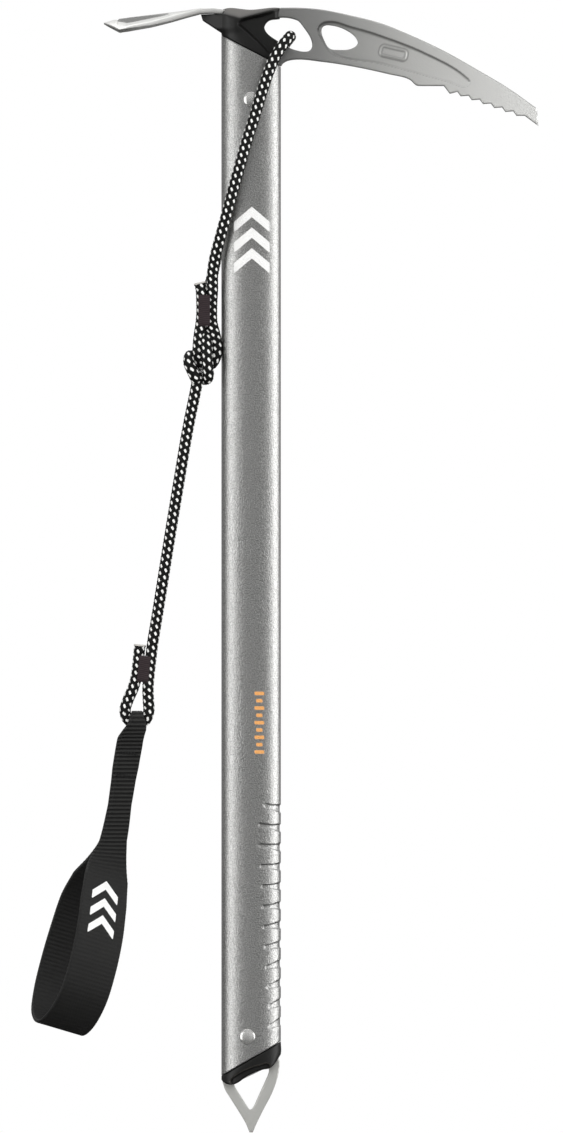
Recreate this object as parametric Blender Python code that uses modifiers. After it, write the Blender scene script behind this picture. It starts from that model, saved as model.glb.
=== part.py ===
"""A classic ice axe, 60 cm long, with a wrist leash.

The shaft stands along Z with the head at the top. The pick points to +X and the adze to -X.
The origin is the top of the head on the shaft's axis, where a hand holds it.
Blender's units are metres. Outlines are written in millimetres and multiplied by MM.
"""

import bmesh
import bpy
import numpy as np
from mathutils import Matrix, Vector

MM = 0.001
GAP = 0.3  # clearance between pieces that touch

# Shaft: an oval aluminium tube
SHAFT_HALF_WIDTH = 15.85
SHAFT_HALF_DEPTH = 10.0
SHAFT_WALL = 1.5
SHAFT_OVAL_POWER = 2.5
SHAFT_TOP = -23.2  # where the top cut crosses the axis
SHAFT_TOP_SLOPE = -0.523
SHAFT_BOTTOM = -560.1  # where the bottom cut crosses the axis
SHAFT_BOTTOM_SLOPE = 0.578

# Grip grooves pressed into the pick side of the shaft
GROOVE_COUNT = 12
GROOVE_FIRST = -426.0
GROOVE_PITCH = 10.6
GROOVE_RADIUS = 2.0
GROOVE_DEPTH = 0.7
GROOVE_TILT_TOP = -12.0
GROOVE_TILT_BOTTOM = 25.0

# Rivets
RIVET_HOLE = 2.5
RIVET_SHANK = 2.2
RIVET_HEAD = 3.9
RIVET_DOME = 1.3
HEAD_RIVET = (0.0, -49.1)
SPIKE_RIVET = (-2.0, -548.4)

# Forged head
HUB_HALF_THICK = 4.0
BLADE_HALF_THICK = 2.0
TAPER_FROM = 30.0
TAPER_TO = 120.0
WEB_HALF_THICK = 1.5
TANG_HALF_WIDTH = 9.5
TANG_END = -66.0
ADZE_THICK = 2.5
TOOTH_COUNT = 7
TOOTH_PITCH = 5.95
TOOTH_SLOPE = -0.35
FIRST_VALLEY = (110.0, -44.7)

# Moulded head cap
CAP_PANEL_HALF = 6.2
CAP_SPIGOT_END = -62.0
BEAK_HALF_THICK = 6.5

# Spike
SPIKE_HALF_THICK = 2.0
SPIKE_TANG_TOP = -532.0
COLLAR_SPIGOT_TOP = -530.0

# Leash cord and webbing
CORD_RADIUS = 3.0
CORD_STEPS = (2.8, 11.0)  # closest and widest spacing of the points along a cord
CORD_STEP_SHARE = 0.42  # spacing as a share of the bend's radius
STRAND_SPACING = 7.2  # centres of the two strands that a bar tack joins
TACK_THREAD = 0.9
WEBBING_THICK = 1.8

CORNER, SMOOTH = "VECTOR", "AUTO"


# ---- helpers ----------------------------------------------------------------------------

for old in list(bpy.data.objects):
    bpy.data.objects.remove(old)


def collection(name):
    home = bpy.data.collections.new(name)
    bpy.context.scene.collection.children.link(home)
    return home


PARTS = collection("ice_axe")
CUTTERS = collection("cutters")


def material(name, colour, roughness, metallic):
    """A plain Principled material."""
    made = bpy.data.materials.new(name)
    made.use_nodes = True
    shader = made.node_tree.nodes["Principled BSDF"]
    shader.inputs["Base Color"].default_value = (*colour, 1)
    shader.inputs["Roughness"].default_value = roughness
    shader.inputs["Metallic"].default_value = metallic
    return made


ALUMINIUM = material("satin_aluminium", (0.62, 0.62, 0.61), 0.42, 1.0)
STEEL = material("forged_steel", (0.52, 0.52, 0.50), 0.38, 1.0)
PLASTIC = material("black_plastic", (0.02, 0.02, 0.02), 0.45, 0.0)
CORD = material("black_cord", (0.025, 0.025, 0.025), 0.8, 0.0)
THREAD = material("maroon_thread", (0.06, 0.03, 0.035), 0.8, 0.0)
WEBBING = material("black_webbing", (0.03, 0.03, 0.028), 0.85, 0.0)
RIVET_METAL = material("rivet_aluminium", (0.7, 0.7, 0.69), 0.3, 1.0)


def as_part(obj, skin):
    """Puts an object with the parts, shades it smooth up to 35 degrees and gives it its material."""
    if obj.name not in PARTS.objects:
        PARTS.objects.link(obj)
    obj.data.materials.append(skin)
    obj.data.shade_smooth()
    obj.data.set_sharp_from_angle(angle=np.radians(35))
    return obj


def as_cutter(obj):
    """Puts an object with the cutters, which are hidden in renders."""
    CUTTERS.objects.link(obj)
    obj.hide_render = True
    obj.display_type = "WIRE"
    return obj


def mesh_object(name, mesh):
    return bpy.data.objects.new(name, mesh)


def frozen(name, curve, matrix):
    """A mesh object made from a curve, with its caps welded."""
    holder = bpy.data.objects.new(name + "_curve", curve)
    bpy.context.scene.collection.objects.link(holder)
    holder.matrix_world = matrix
    bpy.context.view_layer.update()
    seen = holder.evaluated_get(bpy.context.evaluated_depsgraph_get())
    mesh = bpy.data.meshes.new_from_object(seen)
    mesh.transform(matrix)
    cage = bmesh.new()
    cage.from_mesh(mesh)
    bmesh.ops.remove_doubles(cage, verts=cage.verts, dist=0.000002)
    bmesh.ops.recalc_face_normals(cage, faces=cage.faces)
    cage.to_mesh(mesh)
    cage.free()
    bpy.data.objects.remove(holder)
    return mesh_object(name, mesh)


def outline_solid(name, loops, half_depth, upright=True, middle=0.0, resolution=4):
    """A filled flat outline, extruded both ways. Upright ones lie in X and Z, the others in X and Y."""
    flat = bpy.data.curves.new(name, "CURVE")
    flat.dimensions = "2D"
    flat.fill_mode = "BOTH"
    flat.extrude = half_depth * MM
    flat.resolution_u = resolution
    for loop in loops:
        spline = flat.splines.new("BEZIER")
        spline.bezier_points.add(len(loop) - 1)
        spline.use_cyclic_u = True
        for point, (x, y, kind) in zip(spline.bezier_points, loop):
            point.co = (x * MM, y * MM, 0)
            point.handle_left_type = kind
            point.handle_right_type = kind
    if upright:
        place = Matrix.Translation((0, middle * MM, 0)) @ Matrix.Rotation(np.pi / 2, 4, "X")
    else:
        place = Matrix.Translation((0, 0, middle * MM))
    return frozen(name, flat, place)


def corners(points):
    return [(x, z, CORNER) for x, z in points]


def oval_loop(half_width, half_depth, count=40):
    """A superellipse: each coordinate is its half-size times the sine or cosine to 2/power."""
    turn = np.linspace(0, 2 * np.pi, count, endpoint=False)
    share = 2 / SHAFT_OVAL_POWER
    x = half_width * np.sign(np.cos(turn)) * np.abs(np.cos(turn)) ** share
    y = half_depth * np.sign(np.sin(turn)) * np.abs(np.sin(turn)) ** share
    return corners(zip(x, y))


def combine(target, tool, operation="DIFFERENCE"):
    """A Boolean modifier with a cutter."""
    step = target.modifiers.new(operation.lower(), "BOOLEAN")
    step.operation = operation
    step.solver = "EXACT"
    step.object = tool
    return target


def rod_across(name, place, radius, half_length=14.0, sides=24):
    """A cylinder along Y at (x, z)."""
    bpy.ops.mesh.primitive_cylinder_add(
        vertices=sides, radius=radius * MM, depth=2 * half_length * MM,
        location=(place[0] * MM, 0, place[1] * MM), rotation=(np.pi / 2, 0, 0),
    )
    rod = bpy.context.object
    rod.name = name
    for home in list(rod.users_collection):
        home.objects.unlink(rod)
    return as_cutter(rod)


def block(name, low, high):
    """A box between two corners."""
    cage = bmesh.new()
    bmesh.ops.create_cube(cage, size=1)
    low, high = Vector(low) * MM, Vector(high) * MM
    for vert in cage.verts:
        vert.co = (low + high) / 2 + Vector(c * s for c, s in zip(vert.co, high - low))
    mesh = bpy.data.meshes.new(name)
    cage.to_mesh(mesh)
    cage.free()
    return mesh_object(name, mesh)


def slanted_block(name, height, slope, above):
    """A large box whose lower (or upper) face is the plane z = height + slope * x."""
    low, high = (0, 80) if above else (-80, 0)
    box = block(name, (-60, -40, low), (60, 40, high))
    for vert in box.data.vertices:
        vert.co.z += (height * MM) + slope * vert.co.x
    return as_cutter(box)


def smooth_route(points):
    """A smooth centripetal curve through the points, read at steps that shorten where it bends."""
    points = np.array(points, float)
    ends = [2 * points[0] - points[1], *points, 2 * points[-1] - points[-2]]
    dense = []
    for p0, p1, p2, p3 in zip(ends, ends[1:], ends[2:], ends[3:]):
        t1 = np.linalg.norm(p1 - p0) ** 0.5
        t2 = t1 + np.linalg.norm(p2 - p1) ** 0.5
        t3 = t2 + np.linalg.norm(p3 - p2) ** 0.5
        t = np.linspace(t1, t2, 24, endpoint=False)[:, None]
        a1 = p0 + (p1 - p0) * t / t1
        a2 = p1 + (p2 - p1) * (t - t1) / (t2 - t1)
        a3 = p2 + (p3 - p2) * (t - t2) / (t3 - t2)
        b1 = a1 + (a2 - a1) * t / t2
        b2 = a2 + (a3 - a2) * (t - t1) / (t3 - t1)
        dense.append(b1 + (b2 - b1) * (t - t1) / (t2 - t1))
    dense = np.vstack([*dense, points[-1:]])
    along = np.concatenate([[0], np.cumsum(np.linalg.norm(np.diff(dense, axis=0), axis=1))])
    fine = np.linspace(0, along[-1], 900)
    line = np.column_stack([np.interp(fine, along, dense[:, k]) for k in range(3)])
    heading = np.gradient(line, fine, axis=0)
    bend = np.linalg.norm(np.gradient(heading, fine, axis=0), axis=1)
    window = np.hanning(25) / np.hanning(25).sum()
    bend = np.convolve(np.pad(bend, 12, mode="edge"), window, mode="valid")
    step = np.clip(CORD_STEP_SHARE / np.maximum(bend, 1e-6), *CORD_STEPS)
    steps_so_far = np.concatenate([[0], np.cumsum(np.diff(fine) / step[1:])])
    count = int(np.ceil(steps_so_far[-1])) + 1
    places = np.interp(np.linspace(0, steps_so_far[-1], count), steps_so_far, fine)
    return np.column_stack([np.interp(places, fine, line[:, k]) for k in range(3)])


def tube(name, path, radius, roundness=2):
    """A round tube with filled ends along a path."""
    line = bpy.data.curves.new(name, "CURVE")
    line.dimensions = "3D"
    line.bevel_depth = radius * MM
    line.bevel_resolution = roundness
    line.use_fill_caps = True
    spline = line.splines.new("POLY")
    spline.points.add(len(path) - 1)
    for point, place in zip(spline.points, path):
        point.co = (*(place * MM), 1)
    return line


# ---- shaft ------------------------------------------------------------------------------

def shaft_prism(name, half_width, half_depth, low, high):
    loop = oval_loop(half_width, half_depth)
    return outline_solid(name, [loop], (high - low) / 2, upright=False, middle=(high + low) / 2)


inner_width = SHAFT_HALF_WIDTH - SHAFT_WALL
inner_depth = SHAFT_HALF_DEPTH - SHAFT_WALL
shaft = outline_solid(
    "shaft",
    [oval_loop(SHAFT_HALF_WIDTH, SHAFT_HALF_DEPTH), oval_loop(inner_width, inner_depth)],
    295.0, upright=False, middle=-295.0,
)
top_cut = slanted_block("top_cut", SHAFT_TOP, SHAFT_TOP_SLOPE, above=True)
bottom_cut = slanted_block("bottom_cut", SHAFT_BOTTOM, SHAFT_BOTTOM_SLOPE, above=False)
head_rivet_hole = rod_across("head_rivet_hole", HEAD_RIVET, RIVET_HOLE)
spike_rivet_hole = rod_across("spike_rivet_hole", SPIKE_RIVET, RIVET_HOLE)
for tool in (top_cut, bottom_cut, head_rivet_hole, spike_rivet_hole):
    combine(shaft, tool)


def groove(name, number):
    """A bent rod that follows the shaft's edge just outside it, tilted, with its ends leading off."""
    share = number / (GROOVE_COUNT - 1)
    reach = 0.92 + 0.16 * share
    turn = np.linspace(-reach, reach, 9) * np.radians(62)
    lift = GROOVE_RADIUS - GROOVE_DEPTH + 1.3 * np.abs(np.linspace(-1, 1, 9)) ** 4
    power = 2 / SHAFT_OVAL_POWER
    x = (SHAFT_HALF_WIDTH + lift) * np.abs(np.cos(turn)) ** power
    y = (SHAFT_HALF_DEPTH + lift) * np.sign(np.sin(turn)) * np.abs(np.sin(turn)) ** power
    tilt = np.tan(np.radians(GROOVE_TILT_TOP + (GROOVE_TILT_BOTTOM - GROOVE_TILT_TOP) * share))
    z = GROOVE_FIRST - GROOVE_PITCH * number + tilt * (x - 11.0)
    return frozen(name, tube(name, np.column_stack([x, y, z]), GROOVE_RADIUS), Matrix.Identity(4))


for number in range(GROOVE_COUNT):
    combine(shaft, as_cutter(groove(f"groove_{number + 1:02d}", number)))
as_part(shaft, ALUMINIUM)


# ---- head: pick, hub, adze and tang -------------------------------------------------------

carabiner_hole = [
    (9.4, -6.9, SMOOTH), (24.4, -6.5, SMOOTH), (27.2, -9.2, SMOOTH), (32.6, -20.0, SMOOTH),
    (31.2, -22.8, SMOOTH), (24.2, -22.7, SMOOTH), (15.3, -18.6, SMOOTH), (8.2, -13.2, SMOOTH),
    (7.1, -10.2, SMOOTH),
]
EYE_CENTRE = (47.1, -15.7)
EYE_LONG = 10.3
EYE_SHORT = 5.1
EYE_TILT = np.radians(-29)


def eye_hole(count=24):
    """An ellipse turned by its tilt."""
    turn = np.linspace(0, 2 * np.pi, count, endpoint=False)
    along, across = EYE_LONG * np.cos(turn), EYE_SHORT * np.sin(turn)
    x = EYE_CENTRE[0] + along * np.cos(EYE_TILT) - across * np.sin(EYE_TILT)
    z = EYE_CENTRE[1] + along * np.sin(EYE_TILT) + across * np.cos(EYE_TILT)
    return corners(zip(x, z))


def teeth():
    """Valley and tip of each tooth, stepping down the pick's lower edge towards its point."""
    points = [(102.8, -41.6), (106.0, -45.8)]
    for number in range(TOOTH_COUNT - 1):
        x = FIRST_VALLEY[0] + TOOTH_PITCH * number
        z = FIRST_VALLEY[1] + TOOTH_PITCH * TOOTH_SLOPE * number
        points += [(x, z), (x + 1.8, z - 2.4)]
    return corners(points + [(145.9, -57.5), (153.2, -62.9), (152.4, -53.6)])


def cut_line(x):
    """Height of the shaft's top cut at x."""
    return SHAFT_TOP + SHAFT_TOP_SLOPE * x


pick_top = [
    (137.0, -42.7, SMOOTH), (119.9, -32.5, SMOOTH), (102.8, -22.9, SMOOTH), (85.8, -14.9, SMOOTH),
    (68.7, -8.0, SMOOTH), (51.6, -3.7, SMOOTH), (38.0, -1.0, SMOOTH), (26.0, 0.0, SMOOTH),
    (15.7, 0.0, CORNER),
]
saddle_and_tang = corners([
    (14.2, -2.6), (-15.8, -2.6), (-17.0, -0.6), (-24.0, -0.6), (-24.0, -2.6),
    (-TANG_HALF_WIDTH, -14.0), (-TANG_HALF_WIDTH, TANG_END), (TANG_HALF_WIDTH, TANG_END),
    (TANG_HALF_WIDTH, cut_line(TANG_HALF_WIDTH) + GAP), (15.9, cut_line(15.9) + GAP),
])
pick_bottom = [
    (17.4, -29.3, SMOOTH), (21.8, -27.7, SMOOTH), (38.8, -28.8, SMOOTH), (55.9, -31.5, SMOOTH),
    (73.0, -35.2, SMOOTH), (84.5, -38.2, SMOOTH), (88.2, -41.3, SMOOTH), (91.0, -41.6, CORNER),
]
plate_loop = pick_top + saddle_and_tang + pick_bottom + teeth()


def taper(obj, start, end, thin):
    """Thins a plate evenly in Y between two places along X."""
    for vert in obj.data.vertices:
        share = min(max((vert.co.x / MM - start) / (end - start), 0), 1)
        vert.co.y *= 1 + (thin - 1) * share


head = outline_solid("head", [plate_loop], HUB_HALF_THICK)
taper(head, TAPER_FROM, TAPER_TO, BLADE_HALF_THICK / HUB_HALF_THICK)
hub_hole = as_cutter(outline_solid("carabiner_hole", [carabiner_hole], 14.0))
small_hole = as_cutter(outline_solid("small_hole", [eye_hole()], 14.0))

channel = [
    (39.0, -7.3, SMOOTH), (55.0, -10.2, SMOOTH), (71.2, -15.2, SMOOTH), (93.2, -23.9, SMOOTH),
    (113.7, -35.6, SMOOTH), (116.9, -39.6, SMOOTH), (115.0, -42.0, SMOOTH), (104.2, -39.3, SMOOTH),
    (69.8, -30.2, SMOOTH), (43.0, -24.6, SMOOTH), (38.5, -19.5, SMOOTH), (35.2, -11.0, SMOOTH),
]
for side in (-1, 1):
    depth = (14.0 - WEB_HALF_THICK) / 2
    middle = side * (WEB_HALF_THICK + depth)
    tool = outline_solid(f"channel_{side:+d}", [channel], depth, middle=middle)
    combine(head, as_cutter(tool))

ADZE_ROOT = -15.3
ADZE_EDGE = -78.5
ADZE_EDGE_ARC = 8.5  # how far the edge's middle stands out beyond its corners
ADZE_STATIONS = np.array([-90.0, -78.5, -66.0, -53.0, -42.0, -34.0, -27.0, -15.0])
ADZE_RIDGE = np.array([-9.6, -7.2, -4.9, -3.4, -1.7, -0.6, 0.0, 0.0])
ADZE_DROP = np.array([5.4, 5.2, 5.3, 4.3, 2.6, 1.4, 0.5, 0.0])
ADZE_HALF = np.array([26.5, 26.0, 23.0, 17.0, 12.5, 10.0, 8.5, 7.5])


def adze_blade():
    """A gutter: the ridge line along X, falling to each side with the square of the share of width."""
    rows, columns = 15, 11
    u, v = np.meshgrid(np.linspace(0, 1, rows), np.linspace(-1, 1, columns), indexing="ij")
    edge = ADZE_EDGE + ADZE_EDGE_ARC * v**2
    x = ADZE_ROOT + (edge - ADZE_ROOT) * u
    y = v * np.interp(x, ADZE_STATIONS, ADZE_HALF)
    z = np.interp(x, ADZE_STATIONS, ADZE_RIDGE) - np.interp(x, ADZE_STATIONS, ADZE_DROP) * v**2
    cage = bmesh.new()
    points = np.stack([x, y, z], axis=2) * MM
    verts = [[cage.verts.new(place) for place in row] for row in points]
    for upper, lower in zip(verts, verts[1:]):
        for a, b, c, d in zip(upper, upper[1:], lower[1:], lower):
            cage.faces.new((a, d, c, b))
    bmesh.ops.recalc_face_normals(cage, faces=cage.faces)
    if sum(face.normal.z for face in cage.faces) < 0:
        bmesh.ops.reverse_faces(cage, faces=cage.faces)
    mesh = bpy.data.meshes.new("adze_blade")
    cage.to_mesh(mesh)
    cage.free()
    blade = as_cutter(mesh_object("adze_blade", mesh))
    wall = blade.modifiers.new("wall", "SOLIDIFY")
    wall.thickness = ADZE_THICK * MM
    wall.offset = -1
    return blade


combine(head, adze_blade(), "UNION")
for tool in (hub_hole, small_hole, head_rivet_hole):
    combine(head, tool)
as_part(head, STEEL)


# ---- head cap: two moulded halves -----------------------------------------------------------

cap_side = [
    (-26.8, -3.6, CORNER), (-15.1, -3.1, CORNER), (-15.0, -0.8, CORNER), (-12.0, -0.1, SMOOTH),
    (0.0, -1.1, SMOOTH), (12.0, 0.0, SMOOTH), (15.3, 0.0, CORNER), (15.3, -5.9, CORNER),
    (9.4, -6.9, SMOOTH), (7.1, -10.2, SMOOTH), (8.2, -13.2, SMOOTH), (15.3, -18.6, CORNER),
    (12.8, -22.5, SMOOTH), (11.4, cut_line(11.4) + GAP, CORNER),
    (-15.85, cut_line(-15.85) + GAP, CORNER), (-15.8, -13.3, CORNER), (-25.8, -6.8, CORNER),
]
beak_side = corners([
    (-26.8, -3.6), (-15.2, -3.1), (-6.0, -3.1), (-6.0, -14.0), (-15.8, -13.3), (-25.8, -6.8),
])
spigot_side = corners([
    (-14.3, -13.0), (10.9, -26.0), (10.9, -31.0), (14.3, -33.0),
    (14.3, CAP_SPIGOT_END), (-14.3, CAP_SPIGOT_END),
])
recess_side = corners([
    (20.0, -4.0), (-6.0, -9.1), (-7.0, -10.1), (9.0, -27.2), (11.4, -33.0), (20.0, -33.0),
])


def grown(loop, by):
    """The same outline with each point moved outward along the mean of its two sides' normals."""
    spots = np.array([(x, z) for x, z, _ in loop])
    before, after = spots - np.roll(spots, 1, 0), np.roll(spots, -1, 0) - spots
    before /= np.linalg.norm(before, axis=1)[:, None]
    after /= np.linalg.norm(after, axis=1)[:, None]
    nx, nz = np.roll(spots, -1, 0).T
    area = (spots[:, 0] * nz - nx * spots[:, 1]).sum()
    turn = np.sign(area)
    normal = np.column_stack([before[:, 1] + after[:, 1], -(before[:, 0] + after[:, 0])]) * turn
    length = np.linalg.norm(normal, axis=1)[:, None]
    normal /= length
    stretch = np.clip(2 / length, 1, 2.5)
    moved = spots + normal * stretch * by
    return [(x, z, kind) for (x, z), (_, _, kind) in zip(moved, loop)]


hub_only = pick_top[6:] + saddle_and_tang + pick_bottom[:3]
pocket = as_cutter(outline_solid("hub_pocket", [grown(hub_only, GAP)], HUB_HALF_THICK + GAP))
cap_oval = as_cutter(shaft_prism("cap_oval", SHAFT_HALF_WIDTH, SHAFT_HALF_DEPTH, -80.0, 10.0))
spigot_oval = as_cutter(shaft_prism("spigot_oval", inner_width - GAP, inner_depth - GAP, -90.0, 10.0))
spigot = as_cutter(outline_solid("cap_spigot", [spigot_side], 12.0))
combine(spigot, spigot_oval, "INTERSECT")
beak = as_cutter(outline_solid("cap_beak", [beak_side], BEAK_HALF_THICK))
adze_room = as_cutter(block("adze_room", (-40, -12, -3.0), (-15.0, 12, 3.0)))

for word, side in (("front", -1), ("back", 1)):
    half = outline_solid(f"head_cap_{word}", [cap_side], 12.0)
    combine(half, cap_oval, "INTERSECT")
    combine(half, beak, "UNION")
    combine(half, adze_room)
    for away in (-1, 1):
        depth = (14.0 - CAP_PANEL_HALF) / 2
        middle = away * (CAP_PANEL_HALF + depth)
        room = outline_solid(f"panel_{word}_{away:+d}", [recess_side], depth, middle=middle)
        combine(half, as_cutter(room))
    combine(half, spigot, "UNION")
    combine(half, pocket)
    combine(half, hub_hole)
    combine(half, head_rivet_hole)
    seam = side * GAP / 2
    y_range = sorted((seam, -20 * side))
    room = block(f"half_room_{word}", (-40, y_range[0], -80), (40, y_range[1], 20))
    combine(half, as_cutter(room))
    as_part(half, PLASTIC)


# ---- rivets -----------------------------------------------------------------------------------

def rivet(name, place):
    """A turned rivet: shank and two domed heads, its profile run down the outer side."""
    seat = SHAFT_HALF_DEPTH + GAP
    arc = np.linspace(0, np.pi / 2, 6)
    dome = [(RIVET_HEAD * np.sin(a), seat + RIVET_DOME * np.cos(a)) for a in arc]
    upper = [*dome, (RIVET_HEAD, seat - 0.01), (RIVET_SHANK, seat - 0.01)]
    profile = upper + [(r, -h) for r, h in reversed(upper)]
    cage = bmesh.new()
    verts = [cage.verts.new((r * MM, 0, h * MM)) for r, h in profile]
    for a, b in zip(verts, verts[1:]):
        cage.edges.new((a, b))
    mesh = bpy.data.meshes.new(name)
    cage.to_mesh(mesh)
    cage.free()
    pin = mesh_object(name, mesh)
    turned = pin.modifiers.new("turned", "SCREW")
    turned.steps = 20
    turned.render_steps = 20
    turned.use_merge_vertices = True
    turned.merge_threshold = 0.000002
    pin.location = (place[0] * MM, 0, place[1] * MM)
    pin.rotation_euler = (np.pi / 2, 0, 0)
    return as_part(pin, RIVET_METAL)


rivet("head_rivet", HEAD_RIVET)
rivet("spike_rivet", SPIKE_RIVET)


# ---- spike and its collar -----------------------------------------------------------------------

spike_loop = [
    (-9.0, SPIKE_TANG_TOP, CORNER), (-9.0, -566.0, CORNER),
    (-14.6, -569.6, CORNER), (-14.6, -574.0, CORNER),
    (-13.6, -577.5, SMOOTH), (-11.8, -580.3, SMOOTH), (-7.6, -586.9, SMOOTH), (-2.6, -595.4, SMOOTH),
    (-0.9, -599.7, CORNER), (0.9, -599.7, CORNER),
    (2.8, -595.0, SMOOTH), (6.9, -586.9, SMOOTH), (11.0, -578.3, SMOOTH), (14.0, -569.6, SMOOTH),
    (15.0, -562.5, CORNER), (14.4, -559.5, CORNER), (7.0, -558.5, CORNER), (7.0, SPIKE_TANG_TOP, CORNER),
]
triangle = [
    (-8.9, -573.8, SMOOTH), (-7.9, -573.0, CORNER), (8.9, -564.9, CORNER), (9.5, -566.4, SMOOTH),
    (9.0, -569.0, CORNER), (1.4, -585.8, CORNER), (-0.4, -587.6, SMOOTH), (-2.3, -585.6, CORNER),
    (-8.4, -575.9, CORNER),
]
spike = outline_solid("spike", [spike_loop], SPIKE_HALF_THICK)
combine(spike, as_cutter(outline_solid("triangle_hole", [triangle], 8.0)))
combine(spike, spike_rivet_hole)
as_part(spike, STEEL)


def foot_line(x):
    """Height of the shaft's bottom cut at x."""
    return SHAFT_BOTTOM + SHAFT_BOTTOM_SLOPE * x


collar_side = [
    (-15.85, foot_line(-15.85) - GAP, CORNER),
    (-15.6, -571.9, SMOOTH), (-10.1, -574.1, SMOOTH), (-1.3, -569.1, SMOOTH),
    (5.8, -566.2, SMOOTH), (10.2, -565.2, SMOOTH), (15.2, -559.1, SMOOTH), (15.85, -557.8, SMOOTH),
    (15.85, foot_line(15.85) - GAP, CORNER),
]
plug_side = corners([
    (-14.3, -565.5), (-14.3, COLLAR_SPIGOT_TOP), (14.3, COLLAR_SPIGOT_TOP), (14.3, -554.0),
])
collar = outline_solid("spike_collar", [collar_side], 12.0)
collar_oval = as_cutter(shaft_prism("collar_oval", SHAFT_HALF_WIDTH, SHAFT_HALF_DEPTH, -590.0, -500.0))
plug_oval = as_cutter(shaft_prism("plug_oval", inner_width - GAP, inner_depth - GAP, -590.0, -500.0))
plug = as_cutter(outline_solid("collar_plug", [plug_side], 12.0))
combine(plug, plug_oval, "INTERSECT")
combine(collar, collar_oval, "INTERSECT")
combine(collar, plug, "UNION")
spike_room = as_cutter(outline_solid("spike_room", [grown(spike_loop, GAP)], SPIKE_HALF_THICK + GAP))
combine(collar, spike_room)
combine(collar, spike_rivet_hole)
as_part(collar, PLASTIC)


# ---- leash: cord, bar tacks and knot --------------------------------------------------------------

NOOSE_ROUTE = [
    (-28.6, -3.0, -147.7), (-27.6, -3.0, -151.5), (-27.5, -3.0, -155.0), (-27.5, -3.0, -165.5),
    (-29.4, -3.0, -172.6), (-31.0, -3.0, -178.6), (-29.4, -3.0, -183.2), (-24.8, -3.0, -185.2),
    (-20.2, -3.0, -183.2), (-18.6, -3.0, -178.6), (-19.4, -3.0, -172.0), (-20.3, -3.0, -165.5),
    (-20.3, -3.0, -155.0), (-20.4, -3.4, -150.5), (-20.6, -4.6, -143.5), (-19.6, -7.0, -135.0),
    (-16.6, -10.6, -123.5), (-12.6, -13.0, -109.0), (-7.5, -14.0, -90.0), (-0.9, -15.2, -67.0),
    (1.4, -15.4, -60.0), (6.2, -15.4, -44.0), (11.2, -14.6, -30.0), (15.6, -12.8, -22.0),
    (19.0, -9.6, -17.6), (20.7, -5.0, -15.5), (20.9, 0.0, -15.3), (20.7, 5.0, -15.5), (19.0, 9.6, -17.6),
    (16.0, 12.8, -22.0), (12.6, 14.6, -32.0), (8.0, 15.4, -50.0), (5.2, 15.4, -62.0), (0.5, 14.2, -88.0),
    (-7.0, 13.8, -124.0), (-13.0, 13.2, -152.0),
    (-17.8, 11.6, -168.0), (-22.4, 7.0, -176.6), (-24.6, 0.5, -178.9), (-25.4, -6.5, -180.0),
    (-26.0, -10.2, -184.2), (-26.2, -9.8, -187.0),
]
noose_path = smooth_route(NOOSE_ROUTE)
noose = frozen("noose_cord", tube("noose_cord", noose_path, CORD_RADIUS), Matrix.Identity(4))
as_part(noose, CORD)

KNOT_CENTRE = (-27.6, -3.0, -196.2)
KNOT_HALF = (8.3, 8.6, 7.2)
bpy.ops.mesh.primitive_uv_sphere_add(segments=20, ring_count=12, radius=1.0)
knot = bpy.context.object
knot.name = "stopper_knot"
for home in list(knot.users_collection):
    home.objects.unlink(knot)
knot.data.transform(Matrix.Diagonal((*(half * MM for half in KNOT_HALF), 1)))
knot.location = tuple(place * MM for place in KNOT_CENTRE)
as_part(knot, CORD)

LEASH_ROUTE = [
    (-30.6, -1.6, -205.6), (-32.6, -1.0, -217.6), (-34.8, -0.4, -230.4), (-38.0, 0.0, -249.6),
    (-43.3, 0.0, -281.6), (-48.4, 0.0, -313.6), (-50.9, 0.0, -329.0), (-52.4, 0.0, -339.0),
    (-53.3, 0.0, -347.0), (-54.3, 0.0, -357.0), (-55.0, 0.0, -363.0), (-54.8, 0.0, -369.5),
    (-54.6, 0.0, -375.0), (-56.4, 0.0, -379.7), (-60.9, 0.0, -381.8), (-65.4, 0.0, -379.7),
    (-67.2, 0.0, -375.0), (-65.9, 0.0, -369.0), (-63.4, 0.0, -363.0), (-61.6, 0.0, -357.8),
    (-60.5, 0.0, -347.7), (-59.6, 0.0, -339.7),
]
leash_path = smooth_route(LEASH_ROUTE)
leash = frozen("leash_cord", tube("leash_cord", leash_path, CORD_RADIUS), Matrix.Identity(4))
as_part(leash, CORD)


def bar_tack(name, centre, length, tilt):
    """Thread that fills the valley on both faces of two strands and passes between them: a spool outline."""
    reach = CORD_RADIUS + GAP
    half = STRAND_SPACING / 2
    arc = np.radians(np.linspace(0, 88, 6))
    start = half - reach
    quarter = [(half - reach * np.cos(a), reach * np.sin(a)) for a in arc]
    quarter[0] = (start, 0.0)
    rim = [(half, reach + TACK_THREAD)]
    right = quarter[1:] + rim
    upper = right + [(-x, y) for x, y in reversed(right)]
    lower = [(-x, -y) for x, y in right] + [(x, -y) for x, y in reversed(right)]
    loop = upper + [(-start, 0.0)] + lower + [(start, 0.0)]
    tack = outline_solid(name, [corners(loop)], length / 2, upright=False)
    place = Vector(centre) * MM
    tack.data.transform(Matrix.Translation(place) @ Matrix.Rotation(tilt, 4, "Y"))
    return as_part(tack, THREAD)


bar_tack("noose_tack", (-23.9, -3.0, -160.2), 9.0, 0.0)
bar_tack("leash_tack", (-57.42, 0.0, -352.4), 8.0, np.radians(5.9))


# ---- wrist strap -------------------------------------------------------------------------------------

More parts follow.
